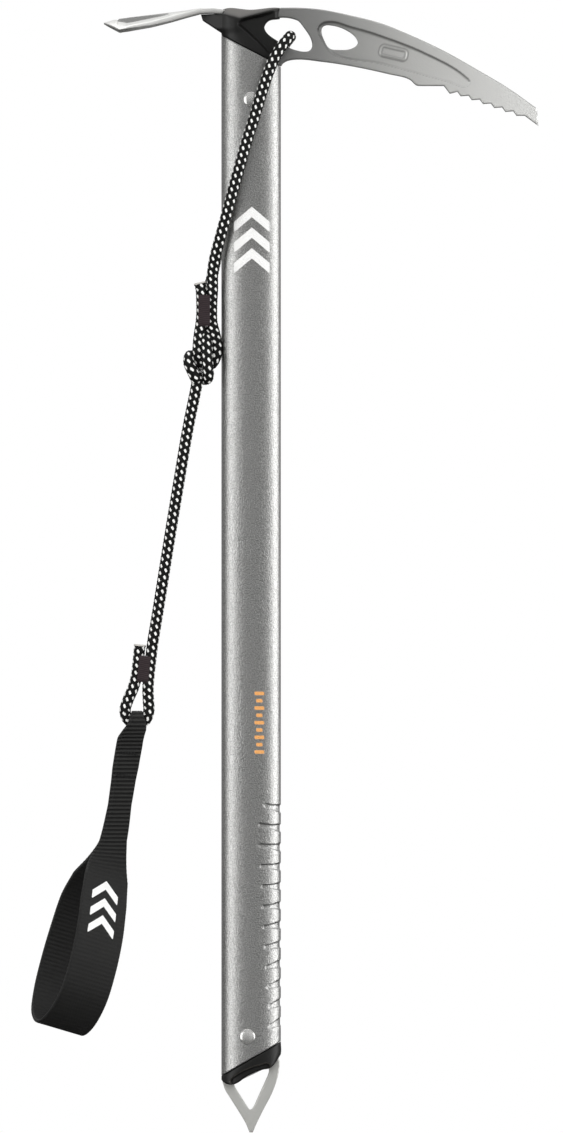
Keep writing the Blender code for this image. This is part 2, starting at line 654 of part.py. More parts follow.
# Each station down one band: middle x, distance from the strap's mid-plane, z, and half width.
STRAP_STATIONS = [
    (-60.9, 5.4, -381.4, 2.5), (-61.4, 5.2, -386.0, 3.8), (-63.2, 3.2, -389.5, 5.4),
    (-64.9, 1.8, -394.0, 6.3), (-66.8, 1.4, -405.0, 6.4), (-70.1, 1.3, -425.0, 6.4),
    (-73.6, 1.4, -444.0, 6.8), (-77.0, 3.2, -454.5, 9.2), (-80.4, 8.0, -464.0, 12.4),
    (-83.8, 13.4, -476.0, 13.4), (-87.7, 18.0, -493.0, 13.6), (-92.5, 19.8, -512.0, 13.6),
    (-96.9, 17.8, -528.0, 13.6), (-100.6, 10.6, -539.5, 13.8), (-101.8, 0.0, -543.8, 14.0),
]
STRAP_FOLD_RADIUS = 5.4
STRAP_ACROSS = Vector((0.962, 0.0, -0.275))  # the webbing's width direction in the open loop
STRAP_YAW = 0.4  # how far the open loop is turned about its own length


def strap_rings():
    """One closed run of stations: up the front, over the cord, down the back and round the bottom."""
    front = [(x, -d, z, half) for x, d, z, half in STRAP_STATIONS]
    fold = [
        (-60.9, STRAP_FOLD_RADIUS * np.sin(a), -381.4 + STRAP_FOLD_RADIUS * np.cos(a), 2.5)
        for a in np.radians([-60, -30, 0, 30, 60])
    ]
    back = [(x, d, z, half) for x, d, z, half in STRAP_STATIONS[:-1]]
    return front[::-1] + fold + back


def strap_sheet():
    cage = bmesh.new()
    rows = []
    for x, y, z, half in strap_rings():
        open_share = min(max((half - 6.7) / (12.5 - 6.7), 0), 1)
        lean = Vector((1, 0, 0)).lerp(STRAP_ACROSS, open_share if z < -450 else 0).normalized()
        lean = Matrix.Rotation(STRAP_YAW * open_share, 3, "Z") @ lean
        middle = Vector((x + STRAP_YAW * open_share * -y, y, z))
        rows.append([cage.verts.new((middle + lean * half * s) * MM) for s in (-1, -0.5, 0, 0.5, 1)])
    for upper, lower in zip(rows, rows[1:] + rows[:1]):
        for a, b, c, d in zip(upper, upper[1:], lower[1:], lower):
            cage.faces.new((a, b, c, d))
    bmesh.ops.recalc_face_normals(cage, faces=cage.faces)
    mesh = bpy.data.meshes.new("wrist_strap")
    cage.to_mesh(mesh)
    cage.free()
    return mesh_object("wrist_strap", mesh)


strap = strap_sheet()
wall = strap.modifiers.new("wall", "SOLIDIFY")
wall.thickness = WEBBING_THICK * MM
wall.offset = 0
as_part(strap, WEBBING)


def strap_tack(name, height, side):
    """A row of stitching across one face of the neck."""
    x = np.interp(-height, [392.0, 405.0, 425.0], [-64.2, -66.8, -70.1])
    face = np.interp(-height, [392.0, 405.0, 425.0], [1.9, 1.4, 1.3]) + WEBBING_THICK / 2 + GAP
    row = block(name, (-5.6, 0, -0.9), (5.6, 0.5, 0.9))
    row.data.transform(Matrix.Rotation(np.radians(8), 4, "Y"))
    low = min(vert.co.y for vert in row.data.vertices)
    for vert in row.data.vertices:
        vert.co.y = side * (vert.co.y - low + face * MM)
        vert.co.x += x * MM
        vert.co.z += height * MM
    if side < 0:
        row.data.flip_normals()
    return as_part(row, THREAD)


for word, height in (("upper", -397.6), ("lower", -409.5)):
    strap_tack(f"strap_tack_{word}_front", height, -1)
    strap_tack(f"strap_tack_{word}_back", height, 1)
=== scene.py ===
"""A classic ice axe with a wrist leash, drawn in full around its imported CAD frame.

The shaft stands along Z with the pick to +X and the adze to -X. Sizes are in millimetres
and multiplied by MM where a mesh is made.
"""

import bpy
import numpy as np
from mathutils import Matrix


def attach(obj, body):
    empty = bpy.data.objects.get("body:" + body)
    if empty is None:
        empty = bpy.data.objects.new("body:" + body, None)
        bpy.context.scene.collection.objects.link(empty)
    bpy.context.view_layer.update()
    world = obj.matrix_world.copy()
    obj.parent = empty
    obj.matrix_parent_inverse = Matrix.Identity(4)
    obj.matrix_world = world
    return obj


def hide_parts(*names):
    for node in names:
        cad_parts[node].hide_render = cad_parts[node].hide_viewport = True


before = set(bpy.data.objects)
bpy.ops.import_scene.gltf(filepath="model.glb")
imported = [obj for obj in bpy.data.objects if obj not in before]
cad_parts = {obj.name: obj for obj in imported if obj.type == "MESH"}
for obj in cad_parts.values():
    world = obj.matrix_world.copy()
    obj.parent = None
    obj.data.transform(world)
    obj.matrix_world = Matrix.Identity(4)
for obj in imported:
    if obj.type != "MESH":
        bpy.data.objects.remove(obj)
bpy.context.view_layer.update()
MM = 0.001


# ---- camera, lights and floor --------------------------------------------------------------------
# The axe is seen square on from in front of the shaft, through a long lens. Two tall soft
# boxes and one overhead light it, and the backdrop is white.

VIEW_CENTRE = (16.2, -297.9)
LENS = 480.0
SENSOR = 36.0
VIEW_HEIGHT = 604.3
view_scene = bpy.context.scene
view_scene.view_settings.view_transform = "Standard"

lens = bpy.data.cameras.new("camera")
lens.lens = LENS
lens.sensor_width = SENSOR
lens.clip_start = 0.05
lens.clip_end = 40.0
camera = bpy.data.objects.new("camera", lens)
camera.location = (VIEW_CENTRE[0] * MM, -VIEW_HEIGHT * MM * LENS / SENSOR, VIEW_CENTRE[1] * MM)
camera.rotation_euler = (np.pi / 2, 0, 0)
view_scene.collection.objects.link(camera)
view_scene.camera = camera


def soft_box(name, turn, lift, distance, width, height, brightness):
    """A rectangular light facing the axe; its power is brightness times pi times its area."""
    lamp = bpy.data.lights.new(name, "AREA")
    lamp.shape = "RECTANGLE"
    lamp.size = width
    lamp.size_y = height
    lamp.energy = brightness * np.pi * width * height
    box = bpy.data.objects.new(name, lamp)
    turn, lift = np.radians(turn), np.radians(lift)
    away = np.array([np.sin(turn) * np.cos(lift), -np.cos(turn) * np.cos(lift), np.sin(lift)])
    box.location = away * distance + np.array([0, 0, VIEW_CENTRE[1] * MM])
    box.rotation_euler = (np.pi / 2 - lift, 0, turn)
    view_scene.collection.objects.link(box)
    return box


soft_box("left_box", -50, 0, 2.2, 1.3, 2.0, 1.9)
soft_box("right_box", 79, 0, 2.2, 1.9, 2.0, 2.2)
soft_box("front_box", 27, 0, 2.2, 1.1, 2.0, 0.15)
soft_box("top_box", 180, 72, 2.0, 2.4, 1.8, 1.9)
fill = soft_box("fill_box", 0, 30, 2.6, 2.0, 1.8, 3.0)
fill.visible_glossy = False

world = bpy.data.worlds.new("studio")
world.use_nodes = True
view_scene.world = world
sky = world.node_tree
glow = sky.nodes["Background"]
glow.inputs["Color"].default_value = (1, 1, 1, 1)
direction = sky.nodes.new("ShaderNodeTexCoord")
upward = sky.nodes.new("ShaderNodeSeparateXYZ")
room = sky.nodes.new("ShaderNodeMapRange")
room.inputs["From Min"].default_value = -0.5
room.inputs["From Max"].default_value = 0.35
room.inputs["To Min"].default_value = 0.04
room.inputs["To Max"].default_value = 0.37
path_kind = sky.nodes.new("ShaderNodeLightPath")
backdrop = sky.nodes.new("ShaderNodeMath")
backdrop.operation = "MAXIMUM"
sky.links.new(direction.outputs["Generated"], upward.inputs["Vector"])
sky.links.new(upward.outputs["Z"], room.inputs["Value"])
sky.links.new(room.outputs["Result"], backdrop.inputs[0])
sky.links.new(path_kind.outputs["Is Camera Ray"], backdrop.inputs[1])
sky.links.new(backdrop.outputs["Value"], glow.inputs["Strength"])


def finish(name, colour, roughness, metallic=0.0):
    """A Principled material with even values; returns the material, its node tree and its shader."""
    made = bpy.data.materials.new(name)
    made.use_nodes = True
    shader = made.node_tree.nodes["Principled BSDF"]
    shader.inputs["Base Color"].default_value = (*colour, 1)
    shader.inputs["Roughness"].default_value = roughness
    shader.inputs["Metallic"].default_value = metallic
    return made, made.node_tree, shader


FLOOR_REACH = 2.0  # metres each way along X
FLOOR_SPAN = (-2.5, 0.1)  # front and back edges
FLOOR_HEIGHT = -0.62
floor_mesh = bpy.data.meshes.new("floor")
floor_mesh.from_pydata([
    (-FLOOR_REACH, FLOOR_SPAN[0], FLOOR_HEIGHT), (FLOOR_REACH, FLOOR_SPAN[0], FLOOR_HEIGHT),
    (FLOOR_REACH, FLOOR_SPAN[1], FLOOR_HEIGHT), (-FLOOR_REACH, FLOOR_SPAN[1], FLOOR_HEIGHT),
], [], [(0, 1, 2, 3)])
floor = bpy.data.objects.new("floor", floor_mesh)
floor_mesh.materials.append(finish("pale_floor", (0.8, 0.8, 0.79), 0.7)[0])
view_scene.collection.objects.link(floor)
floor.visible_glossy = False


# ---- leash cord ----------------------------------------------------------------------------------
# A 6 mm kernmantle cord: a braided sheath of black yarn with white flecks over a pale core.
# Its upper end is sewn back into an eye, the cord runs up through the head's hole, down behind
# the shaft and through that eye, and an overhand knot under the eye stops it.

CORD_RADIUS = 3.0
RING_STEP = 0.36  # spacing of the rings of points along a cord
RING_POINTS = 48
YARNS = 12  # yarns each way round the sheath
YARN_PITCH = 1.9  # length along the cord of one sheath crossing
YARN_BUMP = 0.2
FLECK_HALF = (0.52, 0.80)  # a white float's half width and half length, in yarns
CUT_LENGTH = 1.4  # pale worn length at a cut end


def made_object(name, points, faces, skin, smooth=None):
    """An object from points in millimetres; sides that meet at less than smooth degrees blend."""
    mesh = bpy.data.meshes.new(name)
    mesh.from_pydata(np.asarray(points) * MM, [], faces)
    mesh.materials.append(skin)
    mesh.shade_smooth()
    if smooth:
        mesh.set_sharp_from_angle(angle=np.radians(smooth))
    piece = bpy.data.objects.new(name, mesh)
    view_scene.collection.objects.link(piece)
    return piece


def mark(piece, name, values):
    """Stores one number for each point of the mesh, for its material to read."""
    values = np.asarray(values, np.float32).ravel()
    piece.data.attributes.new(name, "FLOAT", "POINT").data.foreach_set("value", values)


def spots_of(piece):
    """The x and z of each point of a piece, in millimetres."""
    points = np.empty(3 * len(piece.data.vertices))
    piece.data.vertices.foreach_get("co", points)
    return points.reshape(-1, 3)[:, [0, 2]] / MM


def ring_faces(rows, columns):
    """Faces of a tube of rings of points, joined round, with a filled face at each end."""
    number = np.arange(rows * columns).reshape(rows, columns)
    after = np.roll(number, -1, 1)
    sides = np.stack([number[:-1], after[:-1], after[1:], number[1:]], -1).reshape(-1, 4)
    return sides.tolist() + [number[0, ::-1].tolist(), number[-1].tolist()]


def smooth_line(stations, step):
    """A curve through the stations at an even step: each span is a cubic whose slope at a station
    points from the station before to the one after."""
    stations = np.array(stations, float)
    span = np.diff(stations, axis=0)
    length = np.linalg.norm(span, axis=1, keepdims=True)
    unit = span / length
    slope = np.vstack([unit[:1], unit[:-1] + unit[1:], unit[-1:]])
    slope /= np.linalg.norm(slope, axis=1, keepdims=True)
    t = np.linspace(0, 1, 40, endpoint=False)[None, :, None]
    start, end = stations[:-1, None], stations[1:, None]
    leave, arrive = (slope[:-1] * length)[:, None], (slope[1:] * length)[:, None]
    line = (2 * t**3 - 3 * t**2 + 1) * start + (t**3 - 2 * t**2 + t) * leave
    line = line + (3 * t**2 - 2 * t**3) * end + (t**3 - t**2) * arrive
    line = np.vstack([line.reshape(-1, 3), stations[-1:]])
    along = np.concatenate([[0], np.cumsum(np.linalg.norm(np.diff(line, axis=0), axis=1))])
    places = np.linspace(0, along[-1], int(along[-1] / step) + 1)
    return np.column_stack([np.interp(places, along, line[:, k]) for k in range(3)]), places


def carried_frames(line):
    """Two directions across the line at each point, turned as little as possible between points."""
    heading = np.gradient(line, axis=0)
    heading /= np.linalg.norm(heading, axis=1, keepdims=True)
    side = np.cross(heading[0], (0.3, 1.0, 0.1))
    across = np.empty_like(line)
    for row, direction in enumerate(heading):
        side = side - direction * (side @ direction)
        side /= np.linalg.norm(side)
        across[row] = side
    return across, np.cross(heading, across)


def braided_cord(name, stations, skin, cut_start=False, cut_end=False):
    """A cord whose sheath yarns cross as raised diamonds. Distance along and angle round are turned
    into counts of the yarns each way, and each whole number is one diamond's middle. White floats
    repeat every two columns and rows, half a row apart from column to column."""
    line, places = smooth_line(stations, RING_STEP)
    side, back = carried_frames(line)
    turn = np.linspace(0, 2 * np.pi, RING_POINTS, endpoint=False)[None, :]
    along = places[:, None]
    first = YARNS * turn / (2 * np.pi) + along / YARN_PITCH
    second = YARNS * turn / (2 * np.pi) - along / YARN_PITCH
    off_first, off_second = first - np.round(first), second - np.round(second)
    crown = np.cos(np.pi * off_first) * np.cos(np.pi * off_second)
    radius = CORD_RADIUS - YARN_BUMP + 1.6 * YARN_BUMP * crown
    column = np.round((first + second) / 4)
    row = np.round((first - 3 * second) / 8)
    white_first = np.abs(first - 3 * column - 2 * row) / FLECK_HALF[0]
    white_second = np.abs(second - column + 2 * row) / FLECK_HALF[1]
    fleck = 0.5 - 0.5 * np.maximum(white_first, white_second)
    fray = np.zeros_like(along)
    for wanted, gap in ((cut_start, along), (cut_end, places[-1] - along)):
        if wanted:
            fray = np.maximum(fray, np.clip(1 - gap / CUT_LENGTH, 0, 1))
            radius = radius * np.where(gap < 0.5, 0.82 + 0.36 * gap, 1.0)
    radius = radius + fray * (0.35 + 0.4 * np.sin(turn * 11 + 2.0))
    points = line[:, None] + radius[..., None] * (
        np.cos(turn)[..., None] * side[:, None] + np.sin(turn)[..., None] * back[:, None]
    )
    cord = made_object(name, points.reshape(-1, 3), ring_faces(len(line), RING_POINTS), skin)
    mark(cord, "fleck", fleck)
    # Painted shade and highlight: the stored value is low in the hollows between the yarns and high on
    # their crowns.
    mark(cord, "painted_relief_shading", np.clip(0.5 + 0.5 * crown, 0, 1) ** 2)
    mark(cord, "fray", np.broadcast_to(fray, fleck.shape) - 0.4)
    return cord, line * MM, places[-1] * MM


def mixed(tree, value, below, above, low, high):
    """Goes from one colour to another as a value goes from low to high; returns the colour socket."""
    over = tree.nodes.new("ShaderNodeMapRange")
    over.inputs["From Min"].default_value = low
    over.inputs["From Max"].default_value = high
    mix = tree.nodes.new("ShaderNodeMix")
    mix.data_type = "RGBA"
    for socket, colour in (("A", below), ("B", above)):
        target = [s for s in mix.inputs if s.name == socket and s.type == "RGBA"][0]
        if isinstance(colour, tuple):
            target.default_value = (*colour, 1)
        else:
            tree.links.new(colour, target)
    tree.links.new(value, over.inputs["Value"])
    tree.links.new(over.outputs["Result"], mix.inputs["Factor"])
    return [s for s in mix.outputs if s.type == "RGBA"][0]


def masked(tree, attribute, below, above, low=-0.02, high=0.03):
    """Goes from one colour to another as the number stored under that name goes from low to high."""
    stored = tree.nodes.new("ShaderNodeAttribute")
    stored.attribute_name = attribute
    return mixed(tree, stored.outputs["Fac"], below, above, low, high)


def grain(tree, shader, scale, depth):
    """Fine bumps from noise on the object's own coordinates; scale per metre, depth in metres."""
    place = tree.nodes.new("ShaderNodeTexCoord")
    noise = tree.nodes.new("ShaderNodeTexNoise")
    noise.inputs["Scale"].default_value = scale
    noise.inputs["Detail"].default_value = 2.0
    bump = tree.nodes.new("ShaderNodeBump")
    bump.inputs["Distance"].default_value = depth
    tree.links.new(place.outputs["Object"], noise.inputs["Vector"])
    tree.links.new(noise.outputs["Fac"], bump.inputs["Height"])
    tree.links.new(bump.outputs["Normal"], shader.inputs["Normal"])
    return noise


cord_skin, cord_tree, cord_shader = finish("braided_sheath", (0.012, 0.012, 0.012), 0.65)
# Painted shade and highlight: near black in the yarn hollows, a little lighter on the crowns.
yarn = masked(cord_tree, "painted_relief_shading", (0.001, 0.001, 0.001), (0.012, 0.012, 0.0115), 0.0, 1.0)
flecked = masked(cord_tree, "fleck", yarn, (0.90, 0.90, 0.88))
frayed = masked(cord_tree, "fray", flecked, (0.55, 0.53, 0.50))
cord_tree.links.new(frayed, cord_shader.inputs["Base Color"])
cord_shader.inputs["Specular IOR Level"].default_value = 0.2
grain(cord_tree, cord_shader, 3500.0, 0.00008)

NOOSE_STATIONS = [
    (-27.4, -3.0, -146.4), (-26.6, -3.0, -150.0), (-26.3, -3.0, -155.0), (-26.2, -3.0, -162.0),
    (-26.6, -3.0, -168.0), (-27.6, -3.0, -174.5), (-28.2, -2.8, -181.0), (-28.2, -2.4, -187.0),
    (-25.2, -2.2, -190.6), (-21.4, -2.8, -190.0), (-18.9, -3.4, -186.0), (-18.2, -3.4, -180.5),
    (-19.4, -3.2, -174.0), (-20.9, -3.0, -168.0), (-21.1, -3.0, -162.0), (-20.9, -3.0, -155.0),
    (-20.6, -3.4, -150.5), (-20.6, -4.6, -143.5), (-19.6, -7.0, -135.0), (-16.6, -10.6, -123.5),
    (-12.6, -13.0, -109.0), (-7.5, -13.8, -90.0), (-0.9, -14.7, -67.0), (1.4, -15.0, -60.0),
    (6.2, -15.1, -44.0), (11.2, -14.3, -30.0), (15.6, -12.8, -22.0), (19.0, -9.6, -17.6),
    (20.7, -5.0, -15.5), (20.9, 0.0, -15.3), (20.7, 5.0, -15.5), (19.0, 9.6, -17.6),
    (15.6, 12.8, -22.0), (11.2, 14.3, -32.0), (6.2, 15.1, -46.0), (1.4, 15.1, -62.0),
    (-7.0, 14.2, -90.0), (-13.0, 13.2, -110.0), (-17.6, 10.8, -128.0), (-20.8, 7.6, -143.0),
    (-23.6, 5.8, -155.0), (-24.0, 5.0, -164.0), (-23.8, 2.2, -170.4), (-23.6, -2.6, -174.6),
    (-23.5, -6.8, -179.6), (-23.4, -8.6, -186.0), (-23.0, -7.6, -192.2), (-23.0, -3.8, -197.0),
    (-25.0, 1.0, -198.0), (-28.8, 4.4, -195.4), (-31.6, 4.6, -190.6), (-31.8, 1.4, -186.2),
    (-32.8, -3.2, -185.9), (-33.0, -6.8, -189.6), (-30.9, -7.6, -194.6), (-29.0, -5.6, -198.6),
]
noose_cord, noose_line, noose_length = braided_cord(
    "noose_cord_sheath", NOOSE_STATIONS, cord_skin, cut_start=True
)
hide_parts("noose_cord", "stopper_knot")
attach(noose_cord, "noose")

LEASH_STATIONS = [
    (-28.4, -3.2, -197.0), (-29.2, -2.8, -202.0), (-30.5, -2.0, -208.5), (-32.4, -1.2, -217.6),
    (-34.8, -0.4, -230.4), (-38.0, 0.0, -249.6), (-43.3, 0.0, -281.6), (-48.4, 0.0, -313.6),
    (-50.9, 0.0, -329.0), (-52.4, 0.0, -338.0), (-53.5, 0.0, -347.0), (-54.5, 0.0, -356.0),
    (-55.0, 0.0, -363.0), (-54.8, 0.0, -369.5), (-54.6, 0.0, -375.0), (-56.4, 0.0, -379.7),
    (-60.9, 0.0, -381.8), (-65.4, 0.0, -379.7), (-67.2, 0.0, -375.0), (-65.6, 0.0, -369.0),
    (-63.0, 0.0, -363.0), (-61.2, 0.0, -356.6), (-60.1, 0.0, -347.7), (-59.3, 0.0, -339.5),
]
leash_cord, leash_line, leash_length = braided_cord(
    "leash_cord_sheath", LEASH_STATIONS, cord_skin, cut_end=True
)
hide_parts("leash_cord")
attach(leash_cord, "leash")


# ---- shaft ---------------------------------------------------------------------------------------
# An oval aluminium tube, blasted and anodised, cut on a slant at both ends. Grip grooves are
# pressed across its pick side. Plain printed chevrons and tick bars decorate the front.

SHAFT_HALF = (15.85, 10.0)
OVAL_POWER = 2.5
WALL = 1.5
TOP_CUT = (-23.2, -0.523)  # height on the axis and slope
FOOT_CUT = (-560.1, 0.578)
SLANT_REACH = 30.0  # length over which the rows turn from slanted to level
GROOVE_LEFT = np.array([6.6, 3.6, 4.1, 4.7, 5.3, 5.5, 6.0, 6.8, 7.5, 8.3, 9.0, 9.3])
GROOVE_FIRST = -426.0
GROOVE_PITCH = 10.6
GROOVE_DEPTH = np.array([0.5] * 8 + [0.45, 0.42, 0.4, 0.35])
GROOVE_HALF = 1.25
GROOVE_TILT = (-12.0, 25.0)  # degrees, at the first groove and the last
SHAFT_POINTS = 150  # round the oval


def oval_depth(x, half_width=SHAFT_HALF[0], half_depth=SHAFT_HALF[1]):
    """Half depth of the oval at x: the shares of x and of the depth, each to the power, add to one."""
    share = np.clip(np.abs(x) / half_width, 0, 1)
    return half_depth * (1 - share**OVAL_POWER) ** (1 / OVAL_POWER)


def oval_ring(half_width, half_depth, count):
    """Points round the oval from -X past the front, closest at +X, with their outward directions."""
    turn = np.linspace(0, 2 * np.pi, 8001)
    x = -half_width * np.sign(np.cos(turn)) * np.abs(np.cos(turn)) ** (2 / OVAL_POWER)
    y = -half_depth * np.sign(np.sin(turn)) * np.abs(np.sin(turn)) ** (2 / OVAL_POWER)
    along = np.concatenate([[0], np.cumsum(np.hypot(np.diff(x), np.diff(y)))])
    even = np.linspace(0, 1, count, endpoint=False)
    places = along[-1] * (even + np.sin(2 * np.pi * even) / 11)
    x, y = np.interp(places, along, x), np.interp(places, along, y)
    slope_x = np.sign(x) * np.abs(x / half_width) ** (OVAL_POWER - 1) / half_width
    slope_y = np.sign(y) * np.abs(y / half_depth) ** (OVAL_POWER - 1) / half_depth
    size = np.hypot(slope_x, slope_y)
    return x, y, slope_x / size, slope_y / size


def between(value, low, high):
    """Rises smoothly from 0 at low to 1 at high."""
    share = np.clip((value - low) / (high - low), 0, 1)
    return share * share * (3 - 2 * share)


def row_heights(level, x):
    """Height at x of the row that crosses the axis at that level: slanted only near the ends."""
    slope = TOP_CUT[1] * (1 - between(TOP_CUT[0] - level, 0, SLANT_REACH))
    slope = slope + FOOT_CUT[1] * (1 - between(level - FOOT_CUT[0], 0, SLANT_REACH))
    return level + slope * x


def groove_depth(x, z):
    """Depth of the pressed grooves at a place: each is a round-ended slot, wider round the side."""
    deep = np.zeros_like(z)
    for number, (left, depth) in enumerate(zip(GROOVE_LEFT, GROOVE_DEPTH)):
        tilt = np.radians(np.interp(number, [0, len(GROOVE_LEFT) - 1], GROOVE_TILT))
        height = GROOVE_FIRST - GROOVE_PITCH * number
        across = (z - height - np.tan(tilt) * (x - 11.0)) * np.cos(tilt)
        half = GROOVE_HALF + 0.9 * between(x, 10.0, 15.8)
        share = np.hypot(across, np.minimum(x - left - GROOVE_HALF, 0)) / half
        fall = depth * (0.75 + 0.5 * between(x, 9.0, 15.0))
        deep = np.maximum(deep, fall * np.clip(1 - share**6, 0, 1))
    return deep


levels = np.concatenate([
    TOP_CUT[0] - np.array([0.0, 0.25, 0.8, 3.0, 8.0, 14.0, 22.0, 30.0, 45.0, 60.0, 75.0]),
    np.arange(-104.0, -148.0, -0.6),
    np.arange(-156.0, -360.0, -12.0),
    np.arange(-362.0, -400.0, -0.6),
    np.arange(-404.0, -421.0, -4.0),
    np.arange(-421.5, -549.0, -0.36),
    FOOT_CUT[0] + np.array([8.0, 4.0, 0.8, 0.25, 0.0]),
])[:, None]
ring_x, ring_y, out_x, out_y = oval_ring(*SHAFT_HALF, SHAFT_POINTS)
outer_z = row_heights(levels, ring_x[None, :])
sunk = groove_depth(np.broadcast_to(ring_x, outer_z.shape), outer_z)
sunk[0] = sunk[-1] = 0.25
outer = np.stack([ring_x - out_x * sunk, ring_y - out_y * sunk, outer_z], -1)
bore_x, bore_y, _, _ = oval_ring(SHAFT_HALF[0] - WALL, SHAFT_HALF[1] - WALL, SHAFT_POINTS)
bore_levels = levels[[0, 6, 20, -20, -1]]
bore_z = row_heights(bore_levels, bore_x[None, :])
bore = np.stack([bore_x + 0 * bore_z, bore_y + 0 * bore_z, bore_z], -1)
tube_rows = np.concatenate([outer, bore[::-1]])
number = np.arange(tube_rows.shape[0] * SHAFT_POINTS).reshape(-1, SHAFT_POINTS)
beside, below = np.roll(number, -1, 1), np.roll(number, -1, 0)
tube_faces = np.stack([number, below, np.roll(below, -1, 1), beside], -1).reshape(-1, 4).tolist()


def chevron(x, z, centre, half_width, rise, stroke):
    """Distance inside a chevron that points up: half a stroke less the distance from its two slopes."""
    across = np.abs(x - centre[0])
    height = z - centre[1] - rise / 2 + rise * across / half_width
    lean = np.hypot(1, rise / half_width)
    return np.minimum(stroke / 2 - np.abs(height) / lean, half_width - across)


def tick(x, z, centre, half_width, half_height):
    """Distance inside a level bar."""
    return np.minimum(half_width - np.abs(x - centre[0]), half_height - np.abs(z - centre[1]))


flat_x, flat_z = tube_rows[..., 0], tube_rows[..., 2]
facing = tube_rows[..., 1] < -5
facing[len(outer):] = False
white_print = np.full(flat_x.shape, -1.0)
for height in (-113.0, -124.0, -135.0):
    inside = chevron(flat_x, flat_z, (0.4, height), half_width=9.5, rise=8.0, stroke=4.2)
    white_print = np.maximum(white_print, inside)
orange_print = np.full(flat_x.shape, -1.0)
for bar in range(9):
    half = 2.6 if bar % 2 == 0 else 1.7
    inside = tick(flat_x, flat_z, (4.4, -365.5 - 3.9 * bar), half, half_height=0.95)
    orange_print = np.maximum(orange_print, inside)

shaft_skin, shaft_tree, shaft_shader = finish("blasted_aluminium", (0.62, 0.62, 0.61), 0.36, 1.0)
speckle = grain(shaft_tree, shaft_shader, 1500.0, 0.00025)
DULL, BRIGHT = (0.46, 0.46, 0.45), (0.76, 0.76, 0.745)
blasted = mixed(shaft_tree, speckle.outputs["Fac"], DULL, BRIGHT, 0.35, 0.65)
orange_added = masked(shaft_tree, "orange", blasted, (0.80, 0.38, 0.12))
white_added = masked(shaft_tree, "white", orange_added, (0.86, 0.86, 0.85))
unprinted = masked(shaft_tree, "bare", (0, 0, 0), (1, 1, 1))
shaft_tree.links.new(white_added, shaft_shader.inputs["Base Color"])
shaft_tree.links.new(unprinted, shaft_shader.inputs["Metallic"])

shaft = made_object("shaft_tube", tube_rows.reshape(-1, 3), tube_faces, shaft_skin, smooth=50)
mark(shaft, "white", np.where(facing, white_print, -1))
mark(shaft, "orange", np.where(facing, orange_print, -1))
mark(shaft, "bare", np.where(facing, -np.maximum(white_print, orange_print), 1))
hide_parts("shaft")
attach(shaft, "axe")


# ---- head: pick, hub and adze --------------------------------------------------------------------
# One steel forging with a satin finish. The pick thins towards its point, has a sunk panel on
# each face, seven teeth and two holes. The adze spreads from the hub as a shallow gutter.

CELL = 0.45
HUB_HALF = 4.0
BLADE_HALF = 2.0
WEB_HALF = 1.5
BLEND_ANGLE = 38  # degrees: sides of a plate that meet at less look round
SEAM_HALF = 0.15  # half the gap where two mirrored mouldings meet
CORNER, SMOOTH = 0, 1


def closed_line(stations):
    """A closed outline through (x, z, smooth) stations: straight between corners, and cubic spans
    whose slope at a smooth station halves the angle of the two sides that meet there."""
    spots = np.array([s[:2] for s in stations], float)
    soft = np.array([s[2] for s in stations], bool)[:, None]
    span = np.roll(spots, -1, 0) - spots
    length = np.linalg.norm(span, axis=1, keepdims=True)
    unit = span / length
    mean = unit + np.roll(unit, 1, 0)
    mean /= np.linalg.norm(mean, axis=1, keepdims=True)
    leave = (np.where(soft, mean, unit) * length)[:, None]
    arrive = (np.where(np.roll(soft, -1, 0), np.roll(mean, -1, 0), unit) * length)[:, None]
    t = np.linspace(0, 1, 12, endpoint=False)[None, :, None]
    start, end = spots[:, None], np.roll(spots, -1, 0)[:, None]
    line = (2 * t**3 - 3 * t**2 + 1) * start + (t**3 - 2 * t**2 + t) * leave
    line = line + (3 * t**2 - 2 * t**3) * end + (t**3 - t**2) * arrive
    return line.reshape(-1, 2)


def rim_distance(spots, loops):
    """Distance from each spot to the nearest side of the loops, positive inside, and the nearest place.
    A spot is inside if a line to its right crosses the sides an odd number of times."""
    start = np.vstack(loops)
    side = np.vstack([np.roll(loop, -1, 0) for loop in loops]) - start
    size = np.maximum((side**2).sum(1), 1e-12)
    depth, nearest = [], []
    for part in np.array_split(spots, max(1, len(spots) // 2000)):
        gap = part[:, None] - start[None]
        share = np.clip((gap * side).sum(2) / size, 0, 1)
        reach = gap - share[..., None] * side
        away = (reach**2).sum(2)
        pick = away.argmin(1)
        row = np.arange(len(part))
        height = part[:, None, 1]
        crosses = (start[:, 1] > height) != (start[:, 1] + side[:, 1] > height)
        rise = np.where(side[:, 1] == 0, 1e-12, side[:, 1])
        hit = start[:, 0] + side[:, 0] * (height - start[:, 1]) / rise
        odd = (crosses & (hit > part[:, None, 0])).sum(1) % 2 == 1
        depth.append(np.where(odd, 1, -1) * np.sqrt(away[row, pick]))
        nearest.append(part - reach[row, pick])
    return np.concatenate(depth), np.vstack(nearest)


def grid_faces(number):
    """The four-sided faces of a grid of numbered points."""
    corners = [number[:-1, :-1], number[1:, :-1], number[1:, 1:], number[:-1, 1:]]
    return np.stack(corners, -1).reshape(-1, 4)


